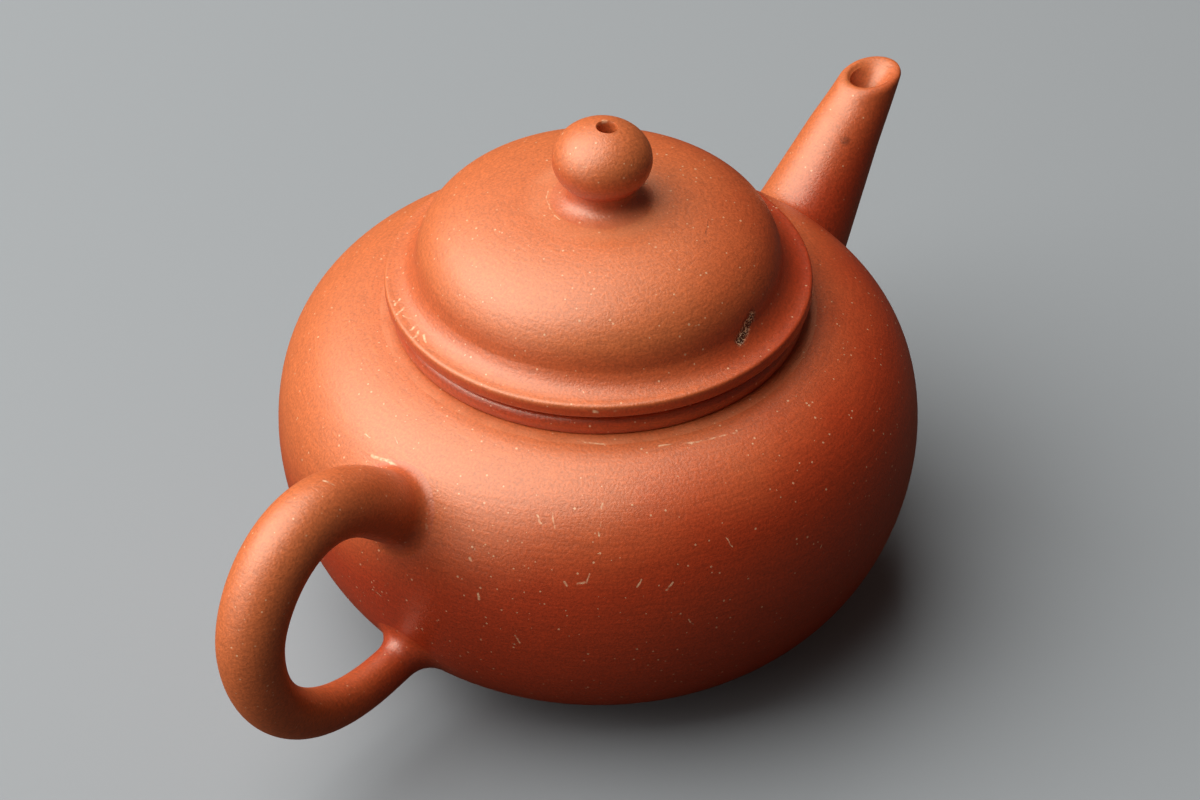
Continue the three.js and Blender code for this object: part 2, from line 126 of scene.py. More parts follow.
# The least and greatest brightness that grain and strokes give the clay
GRAIN_BRIGHTNESS = (0.8, 1.18)
STROKE_BRIGHTNESS = (0.92, 1.07)

# Relief of the strokes and of a chip's dents, where the grain's is 1
STROKE_RELIEF = 0.8
CHIP_RELIEF = -6.0

# How strongly each mark covers the clay, and a worn mark at its thinnest
DUST_STRENGTH = 0.35
SPECK_STRENGTH = 0.65
DARK_STRENGTH = 0.6
PALE_STRENGTH = 0.85
CHIP_STRENGTH = 0.95
WORN_STRENGTH = 0.15

# Share of a mark's width that it covers in full, of the specks that have no size, and a speck's edge
MARK_CORE = 0.3
BARE_SHARE = 0.55
SPECK_EDGE = 0.03

# Sheen of the burnished skin, smoother in the painted shade and rougher away from it
SHEEN_IOR = 1.6
SHEEN_LEVEL = 0.85
SHEEN_TINT = (1, 0.97, 0.93, 1)
SMOOTHER = 0.04
ROUGHER = 0.06

# The stage, with the camera's sensor in millimetres
FLOOR_SIZE = 4
FLOOR_ROUGHNESS = 0.9
FLOOR_SHEEN = 0.2
SENSOR_WIDTH = 36

# Sockets of the Mix node when it mixes colours
MIX_FACTOR = 0
MIX_A = 6
MIX_B = 7
MIX_RESULT = 2


def lowest(name):
    """The lowest corner of a node of the construction model."""
    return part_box(name)[0]


def highest(name):
    """The highest corner of a node of the construction model."""
    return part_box(name)[1]


def length(name, description, default):
    """A length that a user may change, in metres."""
    return FloatProperty(name=name, description=description, default=default, precision=5,
                         subtype="DISTANCE", unit="LENGTH")


def angle(name, description, default):
    """An angle that a user may change, given in degrees."""
    return FloatProperty(name=name, description=description, default=math.radians(default),
                         subtype="ANGLE", unit="ROTATION")


def share(name, description, default):
    """A share between 0 and 1 that a user may change."""
    return FloatProperty(name=name, description=description, default=default, min=0, max=1,
                         subtype="FACTOR")


def linear(code):
    """The linear colour of an sRGB hex value."""
    parts = [int(code[i:i + 2], 16) / 255 for i in (1, 3, 5)]
    return [part / 12.92 if part <= 0.04045 else ((part + 0.055) / 1.055) ** 2.4 for part in parts]


def colour(name, description, code):
    """A colour that a user may change, given as an sRGB hex value."""
    return FloatVectorProperty(name=name, description=description, default=linear(code), size=3,
                               min=0, max=1, subtype="COLOR")


class TeapotBodySizes(PropertyGroup):
    belly_radius: length("Belly radius", "Of the widest line", highest("body_wall").y)
    belly_height: length("Belly height", "Of the widest line above the table", 26.4 * MM)
    shoulder_height: length("Shoulder height", "Of the land the neck stands on", highest("shoulder_disc").z)
    shoulder_fullness: share("Shoulder fullness", "How square the shoulder is", 0.88)
    belly_fullness_above: share("Belly fullness above", "How steep the wall stays above the belly", 0.36)
    belly_fullness_below: share("Belly fullness below", "How steep the wall stays below the belly", 0.18)
    underside_fullness: share("Underside fullness", "How flat the underside runs out", 0.9)
    underside_lift: length("Underside lift", "Rise of the underside where it turns up", 2.7 * MM)
    wall: length("Wall thickness", "Of the body", 2.8 * MM)
    foot_radius: length("Foot radius", "Of the foot disc", highest("foot_disc").x)
    foot_height: length("Foot height", "Of the foot disc", highest("foot_disc").z)
    foot_hollow: length("Foot hollow", "Depth of the middle of the foot's face", 0.3 * MM)
    base_radius: length("Base disc radius", "Of the disc that closes the bottom", highest("base_disc").y)
    seam_radius: length("Shoulder seam radius", "Of the disc that closes the shoulder",
                        highest("shoulder_disc").y)
    lap: length("Lap", "Thickness of each disc where it laps the wall", 1.6 * MM)
    neck_radius: length("Neck radius", "Of the crease at the neck's foot", 24.7 * MM)
    neck_bulge: length("Neck bulge", "Greatest radius of the neck", highest("neck_ring").y)
    neck_land: length("Neck land radius", "Of the level top that the lid rests on", 23.95 * MM)
    mouth_radius: length("Mouth radius", "Of the opening in the neck", 22.3 * MM)
    seat_height: length("Seat height", "Of the lid's seat above the table", highest("neck_ring").z)
    edge: length("Worn edge", "Reach of the rounding on sharp edges", 0.25 * MM)


class TeapotSpoutSizes(PropertyGroup):
    lean: angle("Spout angle", "Of the spout above level", 48)
    tip_reach: length("Tip reach", "Middle of the tip from the pot's axis", 57 * MM)
    tip_height: length("Tip height", "Of the middle of the tip", highest("spout").z)
    tip_radius: length("Tip radius", "Outside, square to the spout", 3.6 * MM)
    root_radius: length("Root radius", "Outside, where the spout's axis enters the wall", 7.3 * MM)
    lip: length("Lip", "Wall left at the tip", 1.1 * MM)
    wall: length("Root wall", "Wall at the root", 2.2 * MM)
    throat: length("Throat radius", "Of the bore where the funnel under the lip ends", 1.8 * MM)
    funnel: length("Funnel depth", "Of the funnel under the lip", 3.2 * MM)
    cut: angle("Cut", "Of the tip, from square to the spout", 42)
    cut_start: share("Cut start", "Share of the length at which sections start to tilt", 0.35)
    fillet_up: length("Fillet up", "Reach of the root's hollow along the spout", 4.2 * MM)
    fillet_out: length("Fillet out", "Reach of the root's hollow along the wall", 2.1 * MM)


class TeapotHandleSizes(PropertyGroup):
    reach: length("Reach", "Middle of the grip from the pot's axis", 62.6 * MM)
    grip_height: length("Grip height", "Where the handle is furthest out", 31 * MM)
    upper_height: length("Upper root height", "Where it leaves the wall", 35.9 * MM)
    lower_height: length("Lower root height", "Where it comes back to the wall", 12.6 * MM)
    upper_angle: angle("Upper angle", "At which it climbs out of the wall", 50)
    lower_angle: angle("Lower angle", "At which it comes back", -14)
    upper_pull: length("Upper pull", "How far it runs before it turns", 21.5 * MM)
    grip_pull_up: length("Grip pull up", "Straightness above the grip", 8.6 * MM)
    grip_pull_down: length("Grip pull down", "Straightness below the grip", 11.8 * MM)
    lower_pull: length("Lower pull", "How far it runs before the lower root", 16 * MM)
    upper_radius: length("Upper radius", "Thickness at the upper end", 4.2 * MM)
    lower_radius: length("Lower radius", "Thickness at the lower end", 2.5 * MM)
    taper_start: share("Taper start", "Share of the length at which it starts to thin", 0.3)
    taper_end: share("Taper end", "Share of the length at which it stops thinning", 1)
    upper_fillet: length("Upper fillet", "Reach of the hollow at the upper root", 2 * MM)
    lower_fillet: length("Lower fillet", "Reach of the hollow at the lower root", 3.2 * MM)


class TeapotLidSizes(PropertyGroup):
    rim_radius: length("Rim radius", "Of the lid's edge", highest("lid_rim_plate").y)
    rim_thickness: length("Rim thickness", "Of the lid's edge",
                          highest("lid_rim_plate").z - lowest("lid_rim_plate").z)
    rim_edge: length("Rim edge", "Reach of the rounding along the rim", 0.45 * MM)
    dome_radius: length("Dome radius", "Where the dome's wall meets the rim", 23.3 * MM)
    crown_height: length("Crown height", "Of the land under the knob", highest("lid_dome").z)
    dome_thickness: length("Dome thickness", "Of the dome's shell", 2.4 * MM)
    dome_angle: angle("Dome angle", "Of the dome's wall at the rim", 65)
    dome_pull: length("Dome pull", "Length of the steep stretch", 3.3 * MM)
    dome_fullness: share("Dome fullness", "How square the dome turns over", 0.97)
    dome_fillet: length("Dome fillet", "Reach of the hollow at the rim", 2.1 * MM)
    ring_radius: length("Locating ring radius", "Outside", highest("lid_locating_ring").y)
    ring_bore: length("Locating ring bore", "Inside radius", 19.8 * MM)
    ring_bottom: length("Locating ring bottom", "Height of its lower edge", lowest("lid_locating_ring").z)
    knob_radius: length("Knob radius", "Of the flattened ball", 6 * MM)
    knob_half_height: length("Knob half height", "Of the flattened ball", 4.65 * MM)
    knob_seat: length("Knob seat", "Radius of the clay spread under the knob", 6.6 * MM)
    knob_waist: length("Knob waist", "Radius of the waist", 3.8 * MM)
    knob_waist_height: length("Knob waist height", "Of the waist above the crown", 2.2 * MM)
    knob_offset: length("Knob offset", "Of the knob from the lid's middle", 0.4 * MM)
    vent_offset: length("Vent offset", "Of the vent from the lid's middle", 1 * MM)
    offset_direction: angle("Offset direction", "In which knob and vent sit off the middle", -51)
    vent_radius: length("Vent radius", "Of the hole through knob and dome", 1.2 * MM)


class TeapotClay(PropertyGroup):
    clay: colour("Clay", "Fired red clay", "#c66a3b")
    # The deep clay is painted shade: the darker red laid on where the lamps light the clay least, in creases
    # and under overhangs
    deep: colour("Deep clay", "Clay where the fire was stronger", "#ae3a18")
    dusty: colour("Dusty clay", "Clay with a rubbed, dusty skin", "#dc9470")
    slip: colour("Pale slip", "Slip and scratches", "#e6c3a2")
    pit: colour("Pit", "Inside a chip", "#3c1e12")
    roughness: share("Roughness", "Of the burnished skin", 0.39)
    grain: length("Grain", "Size of the clay's grains", 0.34 * MM)
    stroke_length: length("Stroke length", "Of burnishing strokes, per turn of the pot", 4.5 * MM)
    stroke_width: length("Stroke width", "Of burnishing strokes", 0.5 * MM)
    speck_spacing: length("Speck spacing", "Between the pale specks", 0.75 * MM)
    speck_radius: length("Speck radius", "Of the largest speck", 0.16 * MM)


class TeapotStage(PropertyGroup):
    floor: colour("Floor", "As the camera sees it", "#8f9aa7")
    bounce: colour("Floor bounce", "As the pot sees it", "#463631")
    distance: length("Camera distance", "From the point it looks at", 0.42)
    aim_height: length("Aim height", "Of the point that the camera looks at", 28.374 * MM)
    azimuth: angle("Camera azimuth", "Round the pot, from looking along +Y", -51)
    elevation: angle("Camera elevation", "Above level", 39.418)
    roll: angle("Camera roll", "About its own axis", 0.165)
    lens: FloatProperty(name="Lens", description="Focal length", default=100.587, subtype="DISTANCE_CAMERA")
    shift: FloatProperty(name="Shift", description="Sideways shift of the picture", default=0.00153)
    key_azimuth: angle("Key azimuth", "Of the large soft lamp", 214)
    key_elevation: angle("Key elevation", "Of the large soft lamp", 59)
    key_distance: length("Key distance", "Of both lamps", 0.9)
    key_size: length("Key size", "Side of both lamps", 1.25)
    key_power: FloatProperty(name="Key power", description="Of the large soft lamp", default=18, unit="POWER")
    key_colour: colour("Key colour", "Of both lamps", "#fff4e4")
    side_azimuth: angle("Side azimuth", "Of the low soft lamp", 240)
    side_elevation: angle("Side elevation", "Of the low soft lamp", 25)
    side_power: FloatProperty(name="Side power", description="Of the low soft lamp", default=6, unit="POWER")
    world_colour: colour("World colour", "Of the light from all round", "#ffcdb4")
    world: FloatProperty(name="World strength", description="Of the light from all round", default=0.07)


def section_curve(start, pull_start, pull_end, end, steps=CURVE_STEPS):
    """Points of a smooth curve in a section, from four (radius, height) pairs."""
    knots = [Vector((radius, height, 0)) for radius, height in (start, pull_start, pull_end, end)]
    return [(at.x, at.y) for at in interpolate_bezier(*knots, steps + 1)]


def eased(start, corner, end, done):
    """A point of the curve that leaves one line and joins the next, instead of turning at a corner."""
    return start.lerp(corner, done).lerp(corner.lerp(end, done), done)


def polar(radius, turn, height):
    """A place given by its distance from the axis, the way round it and its height."""
    return Vector((radius * math.cos(turn), radius * math.sin(turn), height))


def offset_curve(points, distance):
    """Section points moved out square to their curve, which runs up the outside."""
    moved = []
    for number, (radius, height) in enumerate(points):
        before = points[max(number - 1, 0)]
        after = points[min(number + 1, len(points) - 1)]
        along = Vector((after[0] - before[0], after[1] - before[1])).normalized()
        moved.append((radius + along.y * distance, height - along.x * distance))
    return moved


def softened(section, reach):
    """A closed section with each sharp corner off the axis rounded over a reach along its sides."""
    points = [Vector(at) for at in section]
    result = []
    for number, corner in enumerate(points):
        arriving = corner - points[number - 1]
        leaving = points[(number + 1) % len(points)] - corner
        turn = arriving.angle(leaving, 0) if arriving.length and leaving.length else 0
        if turn < CORNER_TURN or corner.x < MERGE:
            result.append(tuple(corner))
            continue
        start = corner - arriving.normalized() * min(reach, arriving.length / 2)
        end = corner + leaving.normalized() * min(reach, leaving.length / 2)
        for step in range(CORNER_STEPS + 1):
            result.append(tuple(eased(start, corner, end, step / CORNER_STEPS)))
    return result


def turned(section):
    """Spins a closed section of (radius, height) points about the Z axis."""
    mesh = bmesh.new()
    verts = [mesh.verts.new((radius, 0, height)) for radius, height in section]
    edges = [mesh.edges.new(pair) for pair in zip(verts, verts[1:] + verts[:1])]
    bmesh.ops.spin(mesh, geom=verts + edges, axis=(0, 0, 1), cent=(0, 0, 0), angle=math.tau,
                   steps=TURN_STEPS, use_merge=True)
    bmesh.ops.remove_doubles(mesh, verts=mesh.verts, dist=MERGE)
    bmesh.ops.dissolve_degenerate(mesh, dist=MERGE, edges=mesh.edges)
    bmesh.ops.recalc_face_normals(mesh, faces=mesh.faces)
    return mesh


def skinned(rings, looped):
    """Extrudes a circle from ring to ring. A looped skin joins its ends, and any other is capped."""
    mesh = bmesh.new()
    order = mesh.verts.layers.int.new("order")
    bmesh.ops.create_circle(mesh, segments=len(rings[0]), radius=MM)
    mesh.verts.ensure_lookup_table()
    for number, vert in enumerate(mesh.verts):
        vert[order] = number
        vert.co = rings[0][number]
    first = list(mesh.edges)
    edges = first
    for ring in rings[1:]:
        made = bmesh.ops.extrude_edge_only(mesh, edges=edges)["geom"]
        verts = {item for item in made if isinstance(item, bmesh.types.BMVert)}
        edges = [item for item in made if isinstance(item, bmesh.types.BMEdge)]
        edges = [edge for edge in edges if verts.issuperset(edge.verts)]
        for vert in verts:
            vert.co = ring[vert[order]]
    if looped:
        bmesh.ops.bridge_loops(mesh, edges=first + edges)
    else:
        for loop in (first, edges):
            bmesh.ops.contextual_create(mesh, geom=loop)
    bmesh.ops.recalc_face_normals(mesh, faces=mesh.faces)
    return mesh


def mesh_data(name, mesh):
    """Turns a finished mesh into data for an object."""
    data = bpy.data.meshes.new(name)
    mesh.to_mesh(data)
    mesh.free()
    return data


def placed(name, data):
    """Makes an object of its data in the scene."""
    made = bpy.data.objects.new(name, data)
    bpy.context.scene.collection.objects.link(made)
    return made


def made_piece(name, mesh, material, body, *nodes):
    """Makes an object of a mesh, which rides on a body and stands for nodes of the construction."""
    data = mesh_data(name, mesh)
    data.shade_smooth()
    data.set_sharp_from_angle(angle=SHARP)
    data.materials.append(material)
    piece = placed(name, data)
    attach(piece, body)
    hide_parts(*nodes)
    return piece


def cut(mesh, cutter):
    """A mesh with another taken out of it."""
    kept, taken = (placed("cut", mesh_data("cut", part)) for part in (mesh, cutter))
    modifier = kept.modifiers.new("cut", "BOOLEAN")
    modifier.operation = "DIFFERENCE"
    modifier.solver = "EXACT"
    modifier.object = taken
    bpy.context.view_layer.update()
    evaluated = kept.evaluated_get(bpy.context.evaluated_depsgraph_get())
    result = bmesh.new()
    result.from_mesh(evaluated.to_mesh())
    evaluated.to_mesh_clear()
    for made in (kept, taken):
        data = made.data
        bpy.data.objects.remove(made)
        bpy.data.meshes.remove(data)
    return result


def outline_below(sizes):
    """The outside of the pot from the foot up to the belly."""
    out = sizes.foot_radius + (sizes.belly_radius - sizes.foot_radius) * sizes.underside_fullness
    down = sizes.belly_height - (sizes.belly_height - sizes.foot_height) * sizes.belly_fullness_below
    return section_curve((sizes.foot_radius, sizes.foot_height),
                         (out, sizes.foot_height + sizes.underside_lift),
                         (sizes.belly_radius, down), (sizes.belly_radius, sizes.belly_height))


def outline_above(sizes):
    """The outside of the pot from the belly up to the neck."""
    up = sizes.belly_height + (sizes.shoulder_height - sizes.belly_height) * sizes.belly_fullness_above
    out = sizes.neck_radius + (sizes.belly_radius - sizes.neck_radius) * sizes.shoulder_fullness
    return section_curve((sizes.belly_radius, sizes.belly_height), (sizes.belly_radius, up),
                         (out, sizes.shoulder_height), (sizes.neck_radius, sizes.shoulder_height))


def pot_outline(sizes):
    """The outside of the pot from the foot up to the neck."""
    return outline_below(sizes) + outline_above(sizes)[1:]


def radius_at(outline, height):
    """The radius of an outline at a height."""
    for (inner, low), (outer, high) in zip(outline, outline[1:]):
        if low <= height <= high:
            return inner + (outer - inner) * (height - low) / max(high - low, MERGE)
    return outline[-1][0]


def height_at(outline, radius):
    """The height of an outline above the belly at a radius."""
    for (outer, low), (inner, high) in zip(outline, outline[1:]):
        if inner <= radius <= outer:
            return low + (high - low) * (outer - radius) / max(outer - inner, MERGE)
    return outline[-1][1]


def lump_tree(sizes):
    """A search tree of the pot's whole outside, for pieces that are luted onto it."""
    lump = turned([(0, sizes.foot_height)] + pot_outline(sizes) + [(0, sizes.shoulder_height)])
    tree = BVHTree.FromBMesh(lump)
    lump.free()
    return tree


def pouring_drill(spout, sizes):
    """A round drill through the wall, along the spout."""
    middle = spout_point(spout, spout_entry(spout, lump_tree(sizes)))
    facing = spout_axes(spout)[0].to_track_quat("Z", "Y").to_matrix().to_4x4()
    place = Matrix.Translation(middle) @ facing
    radius = spout.root_radius - spout.wall
    mesh = bmesh.new()
    bmesh.ops.create_cone(mesh, cap_ends=True, segments=TUBE_SIDES, radius1=radius, radius2=radius,
                          depth=DRILL_WALLS * sizes.wall, matrix=place)
    return mesh


def wall_mesh(sizes, spout):
    """The body's wall, with a ledge for each of its discs and the pouring hole."""
    seam = sizes.seam_radius
    lap_top = sizes.shoulder_height - sizes.lap
    base = sizes.base_radius
    below = outline_below(sizes)
    above = outline_above(sizes)
    outside = [at for at in below if at[0] > base] + [at for at in above[1:] if at[0] > seam]
    inside = offset_curve(outside, -sizes.wall)
    inside = [at for at in inside if at[1] < lap_top - sizes.edge]
    start = (base, radius_at([(height, radius) for radius, height in below], base))
    end = (seam, height_at(above, seam))
    section = [start] + outside + [end, (seam, lap_top), (inside[-1][0], lap_top)] + inside[::-1]
    section += [(base, inside[0][1])]
    return cut(turned(section), pouring_drill(spout, sizes))


def shoulder_disc_mesh(sizes):
    """The disc that closes the shoulder, under the neck."""
    above = outline_above(sizes)
    outer = sizes.seam_radius
    top = [(outer, height_at(above, outer))] + [at for at in above if at[0] < outer]
    under = sizes.shoulder_height - sizes.lap
    mouth = sizes.mouth_radius
    return turned([(mouth, under), (outer, under)] + top + [(mouth, sizes.shoulder_height)])


def base_disc_mesh(sizes):
    """The disc that closes the bottom, with its floor raised inside the foot."""
    below = outline_below(sizes)
    outer = sizes.base_radius
    edge = [at for at in below if at[0] < outer]
    floor = sizes.foot_height + sizes.wall
    return turned([(0, sizes.foot_height)] + edge + [(outer, edge[-1][1]), (outer, floor), (0, floor)])


def foot_disc_mesh(sizes):
    """The low disc that the pot stands on, with worn edges and its middle pressed in."""
    radius = sizes.foot_radius
    top = sizes.foot_height + sizes.edge
    hollow = sizes.foot_hollow
    hollow_flat = radius * 0.55
    hollow_edge = radius * 0.7
    section = [(0, hollow), (hollow_flat, hollow), (hollow_edge, 0), (radius, 0), (radius, top), (0, top)]
    return turned(softened(section, 2 * sizes.edge))


def neck_ring_mesh(sizes):
    """The collar under the lid: a narrow step over a rounded bead."""
    low = sizes.shoulder_height
    high = sizes.seat_height
    step_share = 0.3
    step = high - (high - low) * step_share
    land = sizes.neck_land
    bead_pull = sizes.neck_bulge + 0.35 * MM
    bead_inner = land + 0.55 * MM
    bead = section_curve((sizes.neck_radius, low - PRESSED), (bead_pull, low), (bead_pull, step),
                         (bead_inner, step), CURVE_STEPS // 2)
    crease = (land + 0.5 * MM, step + 0.12 * MM)
    turn_out = (land + 0.75 * MM, step + 0.2 * MM)
    turn_in = (land + 0.6 * MM, high)
    top = section_curve(crease, turn_out, turn_in, (land, high), CURVE_STEPS // 4)
    return turned([(sizes.mouth_radius, low)] + bead + top + [(sizes.mouth_radius, high)])


def spout_axes(spout):
    """The direction of the spout, the direction square to it in its plane, and across."""
    along = Vector((math.cos(spout.lean), 0, math.sin(spout.lean)))
    side = Vector((-math.sin(spout.lean), 0, math.cos(spout.lean)))
    return along, side, Vector((0, 1, 0))


def spout_point(spout, distance):
    """The point of the spout's axis at a distance from the middle of its tip."""
    return Vector((spout.tip_reach, 0, spout.tip_height)) + spout_axes(spout)[0] * distance


def spout_entry(spout, tree):
    """Distance back from the tip at which the spout's axis enters the wall."""
    return -tree.ray_cast(spout_point(spout, 0), -spout_axes(spout)[0])[3]


def smoothstep(low, high, value):
    """Rises smoothly from 0 to 1 between two values."""
    held = min(max((value - low) / (high - low), 0), 1)
    return held * held * (3 - 2 * held)


def spout_ring(spout, distance, radius, skew):
    """A ring round the spout's axis. The skew tilts it towards the cut of the tip."""
    side, across = spout_axes(spout)[1:]
    ring = []
    for number in range(TUBE_SIDES):
        turn = math.tau * number / TUBE_SIDES
        up = radius * math.cos(turn)
        middle = spout_point(spout, distance - up * skew)
        ring.append(middle + side * up + across * radius * math.sin(turn))
    return ring


def side_landing(at, aim, centre, axis, tree):
    """Where a tube's side meets the wall: straight on, or bent inwards just enough to reach it."""
    line = centre - at
    reach = max(line.dot(axis) / aim.dot(axis) * LONGEST_SIDE, line.length * LONGEST_LINE)
    corner, normal, _, gap = tree.ray_cast(at, aim, reach)
    if corner is not None:
        return corner, normal, gap
    corner, normal, _, gap = tree.find_nearest(centre)
    straight, bent = aim, line.normalized()
    for _ in range(BEND_STEPS):
        middle = (straight + bent).normalized()
        hit = tree.ray_cast(at, middle, reach)
        if hit[0] is None:
            straight = middle
        else:
            corner, normal, _, gap = hit
            bent = middle
    return corner, normal, gap


def luted_rings(ring, before, centre, tree, reach_along, reach_out):
    """Rings that carry a tube's last ring straight on to the wall and spread onto it in a hollow."""
    starts, corners, ends = [], [], []
    axis = sum((at - behind for at, behind in zip(ring, before)), Vector()).normalized()
    for at, behind in zip(ring, before):
        corner, normal, gap = side_landing(at, (at - behind).normalized(), centre, axis, tree)
        away = corner - centre
        away -= away.project(normal)
        landing = tree.find_nearest(corner + away.normalized() * reach_out)[0]
        starts.append(corner + (at - corner).normalized() * min(reach_along, gap))
        corners.append(corner)
        ends.append(landing - normal * PRESSED)
    rings = []
    for step in range(FILLET_STEPS + 1):
        done = step / FILLET_STEPS
        rings.append([eased(*lines, done) for lines in zip(starts, corners, ends)])
    return rings


def sunk(ring, tree, depth):
    """A ring moved straight into the wall."""
    moved = []
    for at in ring:
        nearest, normal = tree.find_nearest(at)[:2]
        moved.append(nearest - normal * depth)
    return moved


def spout_sides(spout, entry):
    """Rings of the spout's outside and of its bore, from the root to the tip."""
    skew_at_tip = math.tan(spout.cut)
    bore_tip = spout.tip_radius - spout.lip
    bore_root = spout.root_radius - spout.wall
    clear = -spout.root_radius * SPOUT_CLEAR
    outside, inside = [], []
    for step in range(TUBE_STEPS + 1):
        part = step / TUBE_STEPS
        distance = (entry - clear) * (1 - part) - spout.lip / 2 * part
        wide = distance / entry
        skew = skew_at_tip * smoothstep(spout.cut_start, 1, part)
        radius = spout.tip_radius + (spout.root_radius - spout.tip_radius) * wide
        outside.append(spout_ring(spout, distance, radius, skew))
        deep = entry * (1 - part) - spout.lip / 2 * part
        hole = spout.throat + (bore_root - spout.throat) * deep / entry
        open_share = max(0, 1 + deep / spout.funnel)
        hole += (bore_tip - hole) * open_share ** 2
        inside.append(spout_ring(spout, deep, hole, skew_at_tip * smoothstep(BORE_TILT_START, 1, part)))
    return outside, inside


def spout_lip(spout):
    """Rings of the rounded lip, from the outside over to the bore."""
    lip = []
    half = spout.lip / 2
    for step in range(1, CORNER_STEPS * 2):
        turn = math.pi * step / (CORNER_STEPS * 2)
        radius = spout.tip_radius - half + half * math.cos(turn)
        lip.append(spout_ring(spout, -half + half * math.sin(turn), radius, math.tan(spout.cut)))
    return lip


def spout_mesh(spout, sizes):
    """The spout, with its rounded lip, its bore and the hollow where it is luted on."""
    tree = lump_tree(sizes)
    entry = spout_entry(spout, tree)
    outside, inside = spout_sides(spout, entry)
    centre = spout_point(spout, entry)
    fillet = luted_rings(outside[0], outside[1], centre, tree, spout.fillet_up, spout.fillet_out)
    root = sunk(fillet[-1], tree, SPOUT_SUNK)
    return skinned([root] + fillet[::-1] + outside + spout_lip(spout) + inside[::-1], True)


def handle_path(handle, sizes):
    """Points along the handle's middle, from the upper root to the lower one."""
    outline = pot_outline(sizes)

    def place(reach, height):
        return Vector((-reach, 0, height))

    def pulled(start, lean, pull):
        return start + place(math.cos(lean) * pull, math.sin(lean) * pull)

    upper = place(radius_at(outline, handle.upper_height), handle.upper_height)
    lower = place(radius_at(outline, handle.lower_height), handle.lower_height)
    grip = place(handle.reach, handle.grip_height)
    first = interpolate_bezier(upper, pulled(upper, handle.upper_angle, handle.upper_pull),
                               pulled(grip, math.pi / 2, handle.grip_pull_up), grip, HANDLE_STEPS)
    second = interpolate_bezier(grip, pulled(grip, -math.pi / 2, handle.grip_pull_down),
                                pulled(lower, handle.lower_angle, handle.lower_pull), lower, HANDLE_STEPS)
    return first + second[1:]


def handle_rings(handle, path):
    """Rings round the handle's path."""
    runs = [0]
    for before, after in zip(path, path[1:]):
        runs.append(runs[-1] + (after - before).length)
    rings = []
    across = Vector((0, 1, 0))
    for number, centre in enumerate(path):
        along = (path[min(number + 1, len(path) - 1)] - path[max(number - 1, 0)]).normalized()
        sideways = along.cross(across)
        thinning = smoothstep(handle.taper_start, handle.taper_end, runs[number] / runs[-1])
        radius = handle.upper_radius + (handle.lower_radius - handle.upper_radius) * thinning
        ring = []
        for side in range(TUBE_SIDES):
            turn = math.tau * side / TUBE_SIDES
            ring.append(centre + sideways * radius * math.cos(turn) + across * radius * math.sin(turn))
        rings.append(ring)
    return rings


def clear_of(ring, tree, gap):
    """Whether every point of a ring stands outside the wall by a gap."""
    for at in ring:
        nearest, normal = tree.find_nearest(at)[:2]
        if (at - nearest).dot(normal) < gap:
            return False
    return True


def handle_mesh(handle, sizes):
    """The handle, with the hollows where its two ends are luted onto the wall."""
    tree = lump_tree(sizes)
    path = handle_path(handle, sizes)
    rings = handle_rings(handle, path)
    first = min(number for number, ring in enumerate(rings) if clear_of(ring, tree, handle.upper_fillet))
    last = max(number for number, ring in enumerate(rings) if clear_of(ring, tree, handle.lower_fillet))
    middle = rings[first:last + 1]
    upper = luted_rings(middle[0], middle[1], path[0], tree, handle.upper_fillet, handle.upper_fillet)
    lower = luted_rings(middle[-1], middle[-2], path[-1], tree, handle.lower_fillet, handle.lower_fillet)
    upper_end = sunk(upper[-1], tree, HANDLE_SUNK)
    lower_end = sunk(lower[-1], tree, HANDLE_SUNK)
    return skinned([upper_end] + upper[::-1] + middle + lower + [lower_end], False)


def dome_curves(lid):
    """The outside of the dome: the hollow at its foot, then the wall and crown."""
    top = lid.rim_top

    def steep(run):
        return (lid.dome_radius - run * math.cos(lid.dome_angle), top + run * math.sin(lid.dome_angle))

    turn_over = lid.knob_seat + (lid.dome_radius - lid.knob_seat) * lid.dome_fullness
    crown = section_curve(steep(lid.dome_fillet), steep(lid.dome_pull), (turn_over, lid.crown_height),
                          (lid.knob_seat, lid.crown_height))
    toe = Vector((lid.dome_radius + lid.dome_fillet, top - PRESSED))
    corner = Vector((lid.dome_radius, top))
    end = Vector(steep(lid.dome_fillet))
    hollow = [tuple(eased(toe, corner, end, step / FILLET_STEPS)) for step in range(FILLET_STEPS)]
    return hollow, crown


def vent_cutter(lid):
    """A drill for the vent, flared at its top so that the hole's edge is soft."""
    top = lid.knob_centre + lid.knob_half_height
    radius = lid.vent_radius
    wide = radius + 0.3 * MM
    flare_start = (radius, top - 0.7 * MM)
    pull_up = (radius, top - 0.3 * MM)
    pull_out = (radius + 0.05 * MM, top - 0.12 * MM)
    flare = section_curve(flare_start, pull_up, pull_out, (wide, top + 0.05 * MM), FILLET_STEPS)
    bottom = lid.crown_height - 2 * lid.dome_thickness
    above = top + 2 * MM
    mesh = turned([(0, bottom), (radius, bottom)] + flare + [(wide, above), (0, above)])
    off_middle(mesh, lid, lid.vent_offset)
    return mesh


def off_middle(mesh, lid, distance):
    """Moves a round piece off the lid's middle, as the knob and the vent are."""
    bmesh.ops.translate(mesh, verts=mesh.verts, vec=polar(1, lid.offset_direction, 0) * distance)


class LidPlan:
    """The lid's sizes with the heights that follow from them."""

    def __init__(self, lid, sizes):
        self.lid = lid
        self.rim_bottom = sizes.seat_height
        self.rim_top = sizes.seat_height + lid.rim_thickness
        sine = math.sin(math.acos(lid.knob_waist / lid.knob_radius))
        self.knob_centre = lid.crown_height + lid.knob_waist_height + lid.knob_half_height * sine

    def __getattr__(self, name):
        return getattr(self.lid, name)


